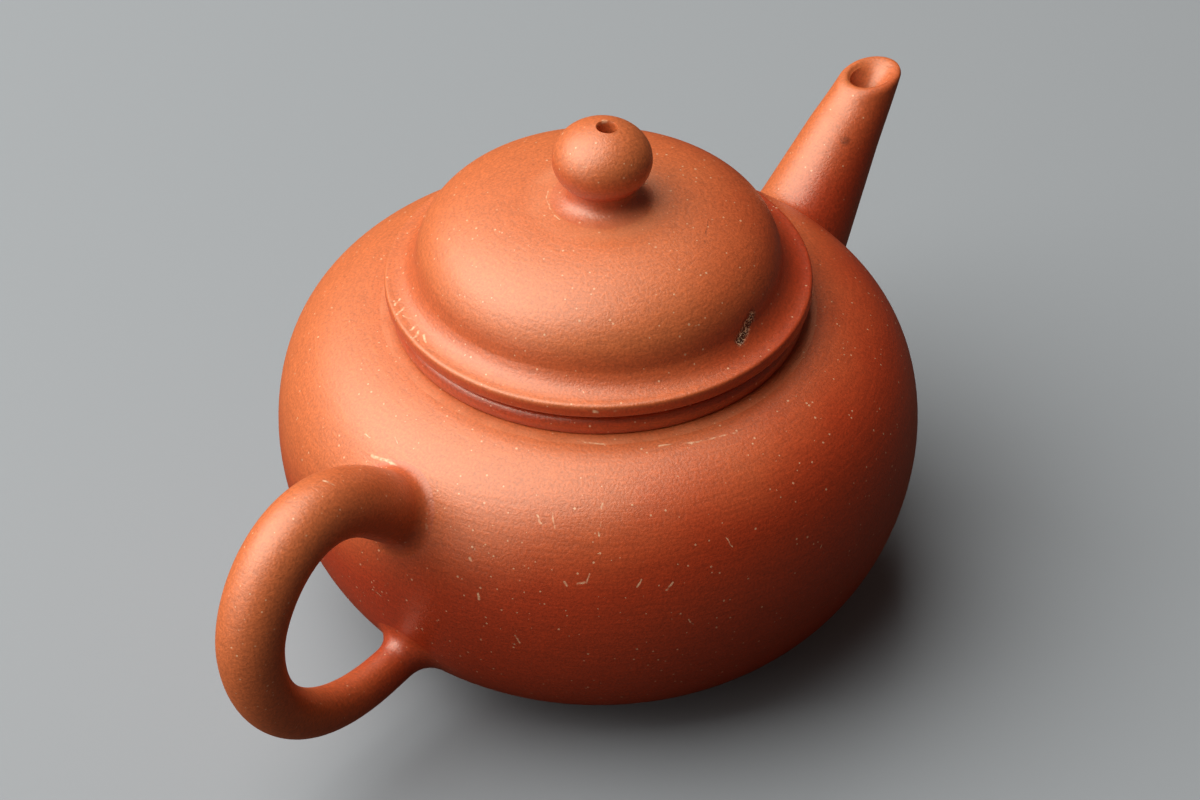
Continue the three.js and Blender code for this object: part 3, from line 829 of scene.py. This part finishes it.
def dome_mesh(lid):
    """The domed shell, pierced by the vent."""
    hollow, crown = dome_curves(lid)
    inside = offset_curve(crown, -lid.dome_thickness)
    section = [(inside[0][0], lid.rim_top - PRESSED)] + hollow + crown
    section += [(0, lid.crown_height), (0, lid.crown_height - lid.dome_thickness)] + inside[::-1]
    return cut(turned(section), vent_cutter(lid))


def rim_mesh(lid):
    """The flat rim with its rounded edges."""
    section = [(lid.ring_bore, lid.rim_bottom), (lid.rim_radius, lid.rim_bottom),
               (lid.rim_radius, lid.rim_top), (lid.ring_bore, lid.rim_top)]
    return turned(softened(section, lid.rim_edge))


def locating_ring_mesh(lid, sizes):
    """The ring that keeps the lid in the mouth, with worn edges."""
    section = [(lid.ring_bore, lid.ring_bottom), (lid.ring_radius, lid.ring_bottom),
               (lid.ring_radius, lid.rim_bottom), (lid.ring_bore, lid.rim_bottom)]
    return turned(softened(section, 2 * sizes.edge))


def knob_mesh(lid):
    """The flattened ball on its spread of clay, pierced by the vent."""
    start = -math.acos(lid.knob_waist / lid.knob_radius)
    ball = []
    for step in range(CURVE_STEPS + 1):
        turn = start + (math.pi / 2 - start) * step / CURVE_STEPS
        height = lid.knob_centre + lid.knob_half_height * math.sin(turn)
        ball.append((lid.knob_radius * math.cos(turn), height))
    waist = Vector(ball[0])
    waist_pull = waist - Vector((0, 1.2 * MM))
    foot = Vector((lid.knob_seat, lid.crown_height - PRESSED))
    foot_pull = foot.lerp(Vector((lid.knob_waist, foot.y)), 0.75)
    spread = section_curve(foot, foot_pull, waist_pull, waist, FILLET_STEPS)
    under = lid.crown_height - KNOB_SUNK
    mesh = turned([(0, under), (lid.knob_seat, under)] + spread + ball[1:-1] + [(0, ball[-1][1])])
    off_middle(mesh, lid, lid.knob_offset)
    return cut(mesh, vent_cutter(lid))


def node(tree, kind, settings, inputs, result=0):
    """Adds a shader node with its settings, its values and its links, and returns one of its outputs."""
    made = tree.nodes.new("ShaderNode" + kind)
    for name, value in settings.items():
        setattr(made, name, value)
    for name, value in inputs.items():
        if isinstance(value, bpy.types.NodeSocket):
            tree.links.new(value, made.inputs[name])
        else:
            made.inputs[name].default_value = value
    return made.outputs[result] if made.outputs else None


def near(tree, place, middle, width, strength=1):
    """How strongly a mark round its middle covers the surface, from 0 to its strength."""
    gap = node(tree, "VectorMath", {"operation": "DISTANCE"}, {0: place, 1: middle}, "Value")
    return node(tree, "MapRange", {"interpolation_type": "SMOOTHSTEP"},
                {"Value": gap, "From Min": width, "From Max": width * MARK_CORE, "To Min": 0,
                 "To Max": strength})


def stroke(tree, place, start, end, width):
    """How strongly a thin stroke between two points covers the surface, from 0 to 1."""
    along = end - start
    step = along / along.length_squared
    offset = node(tree, "VectorMath", {"operation": "SUBTRACT"}, {0: place, 1: start})
    done = node(tree, "VectorMath", {"operation": "DOT_PRODUCT"}, {0: offset, 1: step}, "Value")
    held = node(tree, "Clamp", {}, {"Value": done})
    nearest = node(tree, "VectorMath", {"operation": "SCALE"}, {0: along, "Scale": held})
    return near(tree, offset, nearest, width)


def turned_place(tree, place):
    """The distance from the pot's axis, the way round it and the height of each point."""
    x, y, z = node(tree, "SeparateXYZ", {}, {"Vector": place}).node.outputs
    level = node(tree, "CombineXYZ", {}, {"X": x, "Y": y})
    radius = node(tree, "VectorMath", {"operation": "LENGTH"}, {0: level}, "Value")
    return radius, node(tree, "Math", {"operation": "ARCTAN2"}, {0: y, 1: x}), z


def band(tree, place, radius, height, width, strength=1):
    """How strongly a band round the pot's axis covers the surface, from 0 to its strength."""
    reach, _, level = turned_place(tree, place)
    flat = node(tree, "CombineXYZ", {}, {"X": reach, "Y": level})
    return near(tree, flat, (radius, height, 0), width, strength)


def strongest(tree, masks):
    """The strongest of several masks at each point."""
    best = masks[0]
    for mask in masks[1:]:
        best = node(tree, "Math", {"operation": "MAXIMUM"}, {0: best, 1: mask})
    return best


def worn(tree, place, mask, grain, strength):
    """A mask broken up by noise, as a dry stroke of slip is."""
    noise = node(tree, "TexNoise", {}, {"Vector": place, "Scale": WEAR_PER_GRAIN / grain, "Detail": 2.0})
    broken = node(tree, "MapRange", {}, {"Value": noise, "From Min": WEAR_RANGE[0],
                                         "From Max": WEAR_RANGE[1], "To Min": WORN_STRENGTH,
                                         "To Max": strength})
    return node(tree, "Math", {"operation": "MULTIPLY"}, {0: mask, 1: broken})


def painted_shade_mix(tree, place, painted_shade, shade_bands):
    """How far the clay is from the deep red of its painted shade, from 0 to 1. Bands of painted shade stay
    deep.
    """
    *slope, start = painted_shade
    noise = node(tree, "TexNoise", {}, {"Vector": place, "Scale": 1 / DRIFT_SIZE, "Detail": 3.0,
                                        "Roughness": 0.55})
    drift = node(tree, "MapRange", {}, {"Value": noise, "From Min": NOISE_RANGE[0],
                                        "From Max": NOISE_RANGE[1],
                                        "To Min": (start - DRIFT_REACH) * MM,
                                        "To Max": (start + DRIFT_REACH) * MM})
    side = node(tree, "VectorMath", {"operation": "DOT_PRODUCT"}, {0: place, 1: slope}, "Value")
    drift = node(tree, "Math", {"operation": "ADD"}, {0: side, 1: drift})
    drift = node(tree, "MapRange", {"interpolation_type": "SMOOTHSTEP"},
                 {"Value": drift, "From Min": SHADE_FULL_AT, "From Max": SHADE_GONE_AT})
    if shade_bands:
        out_of_bands = strongest(tree, [band(tree, place, *ring) for ring in shade_bands])
        out_of_bands = node(tree, "Math", {"operation": "MULTIPLY_ADD"}, {0: out_of_bands, 1: -1, 2: 1})
        drift = node(tree, "Math", {"operation": "MULTIPLY"}, {0: drift, 1: out_of_bands})
    return drift


def grained(tree, place, look, base):
    """The clay's colour with its grain and the strokes of burnishing round the pot, and their relief.
    Real grain is finer, and here it is as coarse as it needs to be to show."""
    radius, turn, level = turned_place(tree, place)
    along = node(tree, "Math", {"operation": "MULTIPLY"}, {0: turn, 1: look.stroke_length})
    round_pot = node(tree, "CombineXYZ", {}, {"X": along, "Y": radius, "Z": level})
    reliefs = []
    for where, size, (dark, light) in ((place, look.grain, GRAIN_BRIGHTNESS),
                                       (round_pot, look.stroke_width, STROKE_BRIGHTNESS)):
        noise = node(tree, "TexNoise", {}, {"Vector": where, "Scale": 1 / size, "Detail": 2.0,
                                            "Roughness": 0.6})
        bright = node(tree, "MapRange", {}, {"Value": noise, "From Min": NOISE_RANGE[0],
                                             "From Max": NOISE_RANGE[1], "To Min": dark,
                                             "To Max": light})
        base = node(tree, "VectorMath", {"operation": "SCALE"}, {0: base, "Scale": bright})
        reliefs.append(noise)
    grain, strokes = reliefs
    relief = node(tree, "Math", {"operation": "MULTIPLY_ADD"}, {0: strokes, 1: STROKE_RELIEF, 2: grain})
    return base, relief


def speckled(tree, place, look):
    """A mask of the specks of grit, each a dot of its own size."""
    away = node(tree, "TexVoronoi", {}, {"Vector": place, "Scale": 1 / look.speck_spacing}, "Distance")
    pick = node(tree, "SeparateColor", {}, {"Color": away.node.outputs["Color"]})
    size = node(tree, "MapRange", {}, {"Value": pick, "From Min": BARE_SHARE, "From Max": 1.0,
                                       "To Min": 0, "To Max": look.speck_radius / look.speck_spacing})
    edge = node(tree, "Math", {"operation": "SUBTRACT"}, {0: size, 1: away})
    return node(tree, "MapRange", {}, {"Value": edge, "From Min": 0, "From Max": SPECK_EDGE, "To Min": 0,
                                       "To Max": SPECK_STRENGTH})


def shaken_place(tree, place):
    """The places of the surface moved about, so that a straight mark on them looks drawn by hand."""
    shake = node(tree, "TexNoise", {}, {"Vector": place, "Scale": 1 / SHAKE_SIZE, "Detail": 1.0}, "Color")
    shake = node(tree, "VectorMath", {"operation": "SUBTRACT"}, {0: shake, 1: (0.5, 0.5, 0.5)})
    shake = node(tree, "VectorMath", {"operation": "SCALE"}, {0: shake, "Scale": SHAKE_REACH})
    return node(tree, "VectorMath", {"operation": "ADD"}, {0: place, 1: shake})


def chipped(tree, place, shaken, look, chip):
    """The mask, the colour and the dents of a chip: a dark, flaky hollow with pale streaks."""
    inside = stroke(tree, shaken, *chip)
    flakes = node(tree, "TexNoise", {}, {"Vector": place, "Scale": 1 / FLAKE_SIZE, "Detail": 3.0,
                                         "Distortion": 1.5})
    tone = node(tree, "MapRange", {}, {"Value": flakes, "From Min": FLAKE_RANGE[0],
                                       "From Max": FLAKE_RANGE[1]})
    broken = node(tree, "Mix", {"data_type": "RGBA"}, {MIX_FACTOR: tone, MIX_A: (*look.pit, 1),
                                                       MIX_B: (*look.slip, 1)}, MIX_RESULT)
    cover = node(tree, "Math", {"operation": "MULTIPLY"}, {0: inside, 1: CHIP_STRENGTH})
    return cover, broken, node(tree, "Math", {"operation": "MULTIPLY"}, {0: inside, 1: flakes})


def marked(tree, place, look, base, relief, pale, dark, dusty, chip):
    """The clay's colour and relief with all that lies on it, from the dusty skin up to a chip."""
    covers = []
    if dusty:
        dust = strongest(tree, [band(tree, place, *ring) for ring in dusty])
        dust = worn(tree, place, dust, DUST_GRAINS * look.grain, DUST_STRENGTH)
        covers.append((dust, (*look.dusty, 1)))
    covers.append((speckled(tree, place, look), (*look.slip, 1)))
    shaken = shaken_place(tree, place)
    for lines, strength, paint in ((dark, DARK_STRENGTH, look.pit), (pale, PALE_STRENGTH, look.slip)):
        if lines:
            drawn = strongest(tree, [stroke(tree, shaken, *line) for line in lines])
            covers.append((worn(tree, place, drawn, look.grain, strength), (*paint, 1)))
    if chip:
        cover, broken, dent = chipped(tree, place, shaken, look, chip)
        covers.append((cover, broken))
        relief = node(tree, "Math", {"operation": "MULTIPLY_ADD"}, {0: dent, 1: CHIP_RELIEF, 2: relief})
    for cover, paint in covers:
        base = node(tree, "Mix", {"data_type": "RGBA"}, {MIX_FACTOR: cover, MIX_A: base, MIX_B: paint},
                    MIX_RESULT)
    return base, relief


def new_material(name):
    """A material that has no nodes yet, and its tree."""
    material = bpy.data.materials.new(name)
    material.use_nodes = True
    material.node_tree.nodes.clear()
    return material, material.node_tree


def surfaced(tree, inputs):
    """Ends a material's tree in a shader with these inputs."""
    shader = node(tree, "BsdfPrincipled", {}, inputs)
    node(tree, "OutputMaterial", {}, {"Surface": shader})


def stoneware(name, look, pale=(), dark=(), dusty=(), shade_bands=(), chip=None, painted_shade=SHADE_SLOPE_BODY):
    """Unglazed red stoneware, burnished before firing: a warm satin skin over fine grain, with pale
    specks of grit, a deeper red painted in as shade and the dry, pale scratches that use leaves on it."""
    material, tree = new_material(name)
    place = node(tree, "TexCoord", {}, {}, "Object")
    drift = painted_shade_mix(tree, place, painted_shade, shade_bands)
    # Painted shade: the clay is mixed towards the deep red where the shade mask says
    base = node(tree, "Mix", {"data_type": "RGBA"}, {MIX_FACTOR: drift, MIX_A: (*look.deep, 1),
                                                     MIX_B: (*look.clay, 1)}, MIX_RESULT)
    base, relief = grained(tree, place, look, base)
    base, relief = marked(tree, place, look, base, relief, pale, dark, dusty, chip)
    rough = node(tree, "MapRange", {}, {"Value": drift, "From Min": 0, "From Max": 1,
                                        "To Min": look.roughness - SMOOTHER,
                                        "To Max": look.roughness + ROUGHER})
    bump = node(tree, "Bump", {}, {"Height": relief, "Strength": RELIEF_STRENGTH,
                                   "Distance": RELIEF_DEPTH})
    surfaced(tree, {"Base Color": base, "Roughness": rough, "IOR": SHEEN_IOR, "Normal": bump,
                    "Specular IOR Level": SHEEN_LEVEL, "Specular Tint": SHEEN_TINT})
    return material


def at(x, y, z):
    """A place given in millimetres."""
    return Vector((x, y, z)) * MM


def on_wall(outline, azimuth, height):
    """The place on the pot's wall at an azimuth in degrees and a height in millimetres."""
    return polar(radius_at(outline, height * MM), math.radians(azimuth), height * MM)


def around(radius, azimuth, height):
    """A place given by radius and height in millimetres and azimuth in degrees."""
    return polar(radius, math.radians(azimuth), height) * MM


def chained(places, width):
    """Strokes that run from place to place."""
    return [(start, end, width * MM) for start, end in zip(places, places[1:])]


def handle_ridge():
    """The ridge of pale slip that was pushed up round the handle's upper root."""
    return [
        at(-35.4, 5.6, 39.5), at(-35.2, 3.6, 39.9), at(-35.3, 1.9, 40), at(-35.3, 0.3, 40),
        at(-35.6, -1.4, 39.7), at(-36, -2.7, 39.1), at(-36.6, -3.9, 38.3), at(-37.2, -4.7, 37.2),
        at(-37.9, -5.1, 35.8),
    ]


def wall_marks(sizes):
    """Scratches and knocks on the body's wall, each given by the azimuths and heights of its ends."""
    outline = pot_outline(sizes)
    lines = [
        (-140.1, 41.0, -140.8, 38.4, 0.16), (-152.4, 39.8, -151.2, 39.0, 0.16),
        (-149.4, 40.1, -148.7, 38.7, 0.12), (-146.6, 33.2, -146.3, 32.7, 0.2),
        (-144.4, 33.1, -143.2, 33.3, 0.2), (-142.9, 33.2, -142.3, 34.4, 0.13),
        (-134.3, 32.6, -133.6, 33.4, 0.15), (-129.4, 31.8, -128.1, 32.5, 0.17),
        (-163.4, 34.2, -163.1, 33.9, 0.25), (-161.5, 29.8, -161.2, 29.1, 0.2),
        (176.3, 23.0, 178.4, 22.7, 0.1), (166.5, 40.4, 168.0, 40.6, 0.11),
        (173.0, 41.6, 174.5, 41.4, 0.1), (-118.0, 36.5, -117.0, 35.4, 0.12),
        (-125.5, 27.0, -124.8, 26.1, 0.12), (-155.0, 24.5, -154.2, 23.4, 0.15),
        (-100.0, 30.0, -99.2, 30.6, 0.12), (60.0, 34.0, 62.5, 33.1, 0.16),
        (95.0, 28.0, 96.0, 30.5, 0.14), (20.0, 33.0, 21.5, 32.5, 0.15),
        (-60.0, 26.0, -59.0, 24.2, 0.15),
    ]
    marks = []
    for first, low, second, high, width in lines:
        marks.append((on_wall(outline, first, low), on_wall(outline, second, high), width * MM))
    marks += chained([around(27.7, -126, 43.4), around(28.3, -117, 43.3), around(28.9, -107, 43.2)], 0.2)
    return marks + chained(handle_ridge(), 0.28)


def disc_marks():
    """The arc of slip left where the shoulder disc was luted in."""
    return chained([around(26.3, -146, 43.6), around(26.9, -137, 43.5), around(27.7, -126, 43.4)], 0.18)


def knob_seat_arc(lid):
    """The pale crease along the left of the knob's seat."""
    middle = polar(1, lid.offset_direction, 0) * lid.knob_offset
    turns = [math.radians(azimuth) for azimuth in range(115, 171, 11)]
    return [middle + polar(lid.knob_seat, turn, lid.crown_height) for turn in turns]


def knob_dust(lid):
    """The dusty skin that fingers leave round the knob's foot, as a band."""
    return [(lid.knob_seat - 0.4 * MM, lid.crown_height + 0.3 * MM, 3.6 * MM)]


def lid_marks(lid):
    """Scratches on the lid, by radius and azimuth of each end, and the crease round the knob's seat."""
    lines = [
        (24.6, 143, 25.4, 145, 48.8, 0.18), (24.4, 147, 25.6, 149, 48.8, 0.2),
        (25.0, 150, 24.2, 153, 48.8, 0.16), (24.3, 156, 25.3, 157, 48.8, 0.26),
        (24.6, 159, 25.6, 160.5, 48.8, 0.22), (24.4, 161, 24.8, 164, 48.8, 0.22),
        (26.1, -142, 26.15, -141.2, 48.0, 0.35), (26.15, -136.6, 26.15, -135.9, 48.0, 0.33),
    ]
    marks = []
    for inner, first, outer, second, height, width in lines:
        marks.append((around(inner, first, height), around(outer, second, height), width * MM))
    ring = [around(0.42, azimuth, 0) + at(-6.8, -20.5, 54.4) for azimuth in range(20, 330, 60)]
    return marks + chained(ring, 0.1) + chained(knob_seat_arc(lid), 0.1)


def handle_marks():
    """Scratches on the handle and the ridge at its root."""
    marks = [
        (at(-49.2, 0.0, 47.9), at(-48.8, -1.3, 47.5), 0.2 * MM),
        (at(-53.5, -2.6, 46.8), at(-52.1, -3.5, 45.9), 0.14 * MM),
        (at(-64.8, -0.6, 38.2), at(-64.0, -1.9, 39.2), 0.14 * MM),
        (at(-46.0, -2.5, 46.9), at(-44.5, -3.2, 46.2), 0.12 * MM),
    ]
    return marks + chained(handle_ridge(), 0.28)


class TEAPOT_OT_body(Operator):
    """Makes the wall, the discs that close it, the foot and the neck"""

    bl_idname = "teapot.body"
    bl_label = "Make body"

    def execute(self, context):
        sizes = context.scene.teapot_body
        look = context.scene.teapot_clay
        # Each of these clays is painted deeper red as shade towards its lower parts; the neck's is mostly the
        # deep red, as shade under the lid's rim
        plain = stoneware("unglazed_red_stoneware", look)
        wall = stoneware("unglazed_red_stoneware_wall", look, pale=wall_marks(sizes))
        seam = [(sizes.neck_radius + 2 * MM, sizes.shoulder_height, 2 * MM)]
        disc = stoneware("unglazed_red_stoneware_shoulder", look, pale=disc_marks(), dusty=seam)
        collar = stoneware("unglazed_red_stoneware_neck", look, painted_shade=SHADE_SLOPE_NECK)
        made_piece("body_wall_clay", wall_mesh(sizes, context.scene.teapot_spout), wall, POT, "body_wall")
        made_piece("shoulder_disc_clay", shoulder_disc_mesh(sizes), disc, POT, "shoulder_disc")
        made_piece("base_disc_clay", base_disc_mesh(sizes), plain, POT, "base_disc")
        made_piece("foot_disc_clay", foot_disc_mesh(sizes), plain, POT, "foot_disc")
        made_piece("neck_ring_clay", neck_ring_mesh(sizes), collar, POT, "neck_ring")
        return {"FINISHED"}


class TEAPOT_OT_spout(Operator):
    """Makes the spout"""

    bl_idname = "teapot.spout"
    bl_label = "Make spout"

    def execute(self, context):
        look = context.scene.teapot_clay
        spot = [(at(47.5, -2.9, 43.5), at(47.9, -2.5, 43.2), 0.9 * MM)]
        # The spout's clay is painted deeper red as shade on its side away from the lamps
        clay = stoneware("unglazed_red_stoneware_spout", look, dark=spot, painted_shade=SHADE_SLOPE_SPOUT)
        mesh = spout_mesh(context.scene.teapot_spout, context.scene.teapot_body)
        made_piece("spout_clay", mesh, clay, POT, "spout")
        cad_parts["strainer_dome"].data.materials.clear()
        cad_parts["strainer_dome"].data.materials.append(clay)
        return {"FINISHED"}


class TEAPOT_OT_handle(Operator):
    """Makes the handle"""

    bl_idname = "teapot.handle"
    bl_label = "Make handle"

    def execute(self, context):
        look = context.scene.teapot_clay
        # The handle's clay is painted deeper red as shade towards the pot and low down
        clay = stoneware("unglazed_red_stoneware_handle", look, pale=handle_marks(), painted_shade=SHADE_SLOPE_HANDLE)
        mesh = handle_mesh(context.scene.teapot_handle, context.scene.teapot_body)
        made_piece("handle_clay", mesh, clay, POT, "handle")
        return {"FINISHED"}


class TEAPOT_OT_lid(Operator):
    """Makes the lid: dome, rim, locating ring and knob"""

    bl_idname = "teapot.lid"
    bl_label = "Make lid"

    def execute(self, context):
        sizes = context.scene.teapot_body
        look = context.scene.teapot_clay
        lid = LidPlan(context.scene.teapot_lid, sizes)
        hairline = [(at(6.1, -11.8, 59.0), at(1.6, -14.8, 58.7), 0.12 * MM)]
        chip = (at(1.4, -22.3, 51.9), at(-1.4, -22.6, 50.3), 1.1 * MM)
        dust = knob_dust(lid)

        # Bands of painted shade, by radius, height, width and strength: in the hollow at the dome's foot and
        # on the rim's side
        wall = (lid.dome_radius - 0.6 * MM, lid.rim_top + 2.2 * MM, 3.6 * MM, 0.3)
        edge = (lid.rim_radius + 0.2 * MM, lid.rim_bottom + 0.6 * MM, 1.1 * MM, 0.85)
        clay = stoneware("unglazed_red_stoneware_lid", look, pale=lid_marks(lid), dark=hairline, chip=chip,
                         dusty=dust, shade_bands=[wall, edge], painted_shade=SHADE_SLOPE_LID)
        # A band of painted shade over the knob's lower half, by radius, height, width and strength
        under = (lid.knob_radius - 1 * MM, lid.knob_centre - 3 * MM, 5 * MM, 0.7)
        plain = stoneware("unglazed_red_stoneware_knob", look,
                          pale=[(at(1.25, 0.4, 69.8), at(1.5, 0.2, 69.8), 0.35 * MM),
                                (at(-1.7, 4.1, 68.1), at(-1.9, 3.9, 68.1), 0.16 * MM),
                                (at(-4.9, -1.7, 67.5), at(-4.7, -1.9, 67.6), 0.16 * MM)],
                          dusty=dust, shade_bands=[under], painted_shade=SHADE_SLOPE_LID)
        made_piece("lid_dome_clay", dome_mesh(lid), clay, LID, "lid_dome")
        made_piece("lid_rim_clay", rim_mesh(lid), clay, LID, "lid_rim_plate")
        made_piece("lid_locating_ring_clay", locating_ring_mesh(lid, sizes), plain, LID, "lid_locating_ring")
        made_piece("lid_knob_clay", knob_mesh(lid), plain, LID, "lid_knob")
        return {"FINISHED"}


def seen_from(azimuth, elevation, distance, height):
    """A place round the pot, at a distance from a point on its axis."""
    level = distance * math.cos(elevation)
    rise = distance * math.sin(elevation)
    return Vector((level * math.sin(azimuth), -level * math.cos(azimuth), height + rise))


def aimed(place, target, roll=0):
    """The turn of a camera or lamp at a place that looks at a target."""
    facing = (target - place).to_track_quat("-Z", "Y").to_matrix().to_4x4()
    return Matrix.Translation(place) @ facing @ Matrix.Rotation(roll, 4, "Z")


def soft_lamp(name, stage, power, azimuth, elevation):
    """Makes a large soft lamp that looks at the pot."""
    lamp_data = bpy.data.lights.new(name, "AREA")
    lamp_data.shape = "SQUARE"
    lamp_data.size = stage.key_size
    lamp_data.energy = power
    lamp_data.color = stage.key_colour
    place = seen_from(azimuth, elevation, stage.key_distance, stage.aim_height)
    placed(name, lamp_data).matrix_world = aimed(place, Vector((0, 0, stage.aim_height)))


def floor_paint(stage):
    """Matt pale paint, which looks pale to the camera and bounces less light onto the pot."""
    material, tree = new_material("matt_floor_paint")
    seen = node(tree, "LightPath", {}, {}, "Is Camera Ray")
    paint = node(tree, "Mix", {"data_type": "RGBA"}, {MIX_FACTOR: seen, MIX_A: (*stage.bounce, 1),
                                                      MIX_B: (*stage.floor, 1)}, MIX_RESULT)
    surfaced(tree, {"Base Color": paint, "Roughness": FLOOR_ROUGHNESS, "Specular IOR Level": FLOOR_SHEEN})
    return material


def make_floor(stage):
    """Makes the wide, level floor."""
    mesh = bmesh.new()
    bmesh.ops.create_grid(mesh, x_segments=1, y_segments=1, size=FLOOR_SIZE)
    floor = placed("floor", mesh_data("floor", mesh))
    floor.data.materials.append(floor_paint(stage))


def make_world(stage):
    """Makes the plain light from all round."""
    world = bpy.data.worlds.new("studio")
    world.use_nodes = True
    background = world.node_tree.nodes["Background"]
    background.inputs["Color"].default_value = (*stage.world_colour, 1)
    background.inputs["Strength"].default_value = stage.world
    bpy.context.scene.world = world


def make_camera(stage):
    """Makes the camera, which sees the pot as the photo does."""
    camera_data = bpy.data.cameras.new("camera")
    camera_data.lens = stage.lens
    camera_data.sensor_width = SENSOR_WIDTH
    camera_data.shift_x = stage.shift
    camera = placed("camera", camera_data)
    place = seen_from(stage.azimuth, stage.elevation, stage.distance, stage.aim_height)
    camera.matrix_world = aimed(place, Vector((0, 0, stage.aim_height)), stage.roll)
    bpy.context.scene.camera = camera


class TEAPOT_OT_stage(Operator):
    """Makes the floor, the lamps, the light from all round and the camera"""

    bl_idname = "teapot.stage"
    bl_label = "Make stage"

    def execute(self, context):
        stage = context.scene.teapot_stage
        make_floor(stage)
        soft_lamp("key", stage, stage.key_power, stage.key_azimuth, stage.key_elevation)
        soft_lamp("side", stage, stage.side_power, stage.side_azimuth, stage.side_elevation)
        make_world(stage)
        make_camera(stage)
        context.scene.view_settings.view_transform = "Standard"
        return {"FINISHED"}


GROUPS = {
    "teapot_body": TeapotBodySizes,
    "teapot_spout": TeapotSpoutSizes,
    "teapot_handle": TeapotHandleSizes,
    "teapot_lid": TeapotLidSizes,
    "teapot_clay": TeapotClay,
    "teapot_stage": TeapotStage,
}
OPERATORS = (TEAPOT_OT_body, TEAPOT_OT_spout, TEAPOT_OT_handle, TEAPOT_OT_lid, TEAPOT_OT_stage)


class TEAPOT_PT_panel(Panel):
    """Lists the steps that make the teapot, and the sizes and colours that they use"""

    bl_idname = "TEAPOT_PT_panel"
    bl_label = "Red stoneware teapot"
    bl_space_type = "VIEW_3D"
    bl_region_type = "UI"
    bl_category = "Teapot"

    def draw(self, context):
        for operator in OPERATORS:
            self.layout.operator(operator.bl_idname)
        for name, group in GROUPS.items():
            box = self.layout.box()
            values = getattr(context.scene, name)
            for value in group.__annotations__:
                box.prop(values, value)


def register():
    """Registers the classes and hangs the sizes and colours on the scene."""
    for kind in (*GROUPS.values(), *OPERATORS, TEAPOT_PT_panel):
        bpy.utils.register_class(kind)
    for name, group in GROUPS.items():
        setattr(bpy.types.Scene, name, PointerProperty(type=group))


def unregister():
    """Takes back what register did."""
    for name in GROUPS:
        delattr(bpy.types.Scene, name)
    for kind in reversed((*GROUPS.values(), *OPERATORS, TEAPOT_PT_panel)):
        bpy.utils.unregister_class(kind)


def main():
    """Makes the teapot and its stage."""
    register()
    bpy.ops.teapot.body()
    bpy.ops.teapot.spout()
    bpy.ops.teapot.handle()
    bpy.ops.teapot.lid()
    bpy.ops.teapot.stage()


if __name__ == "__main__":
    main()
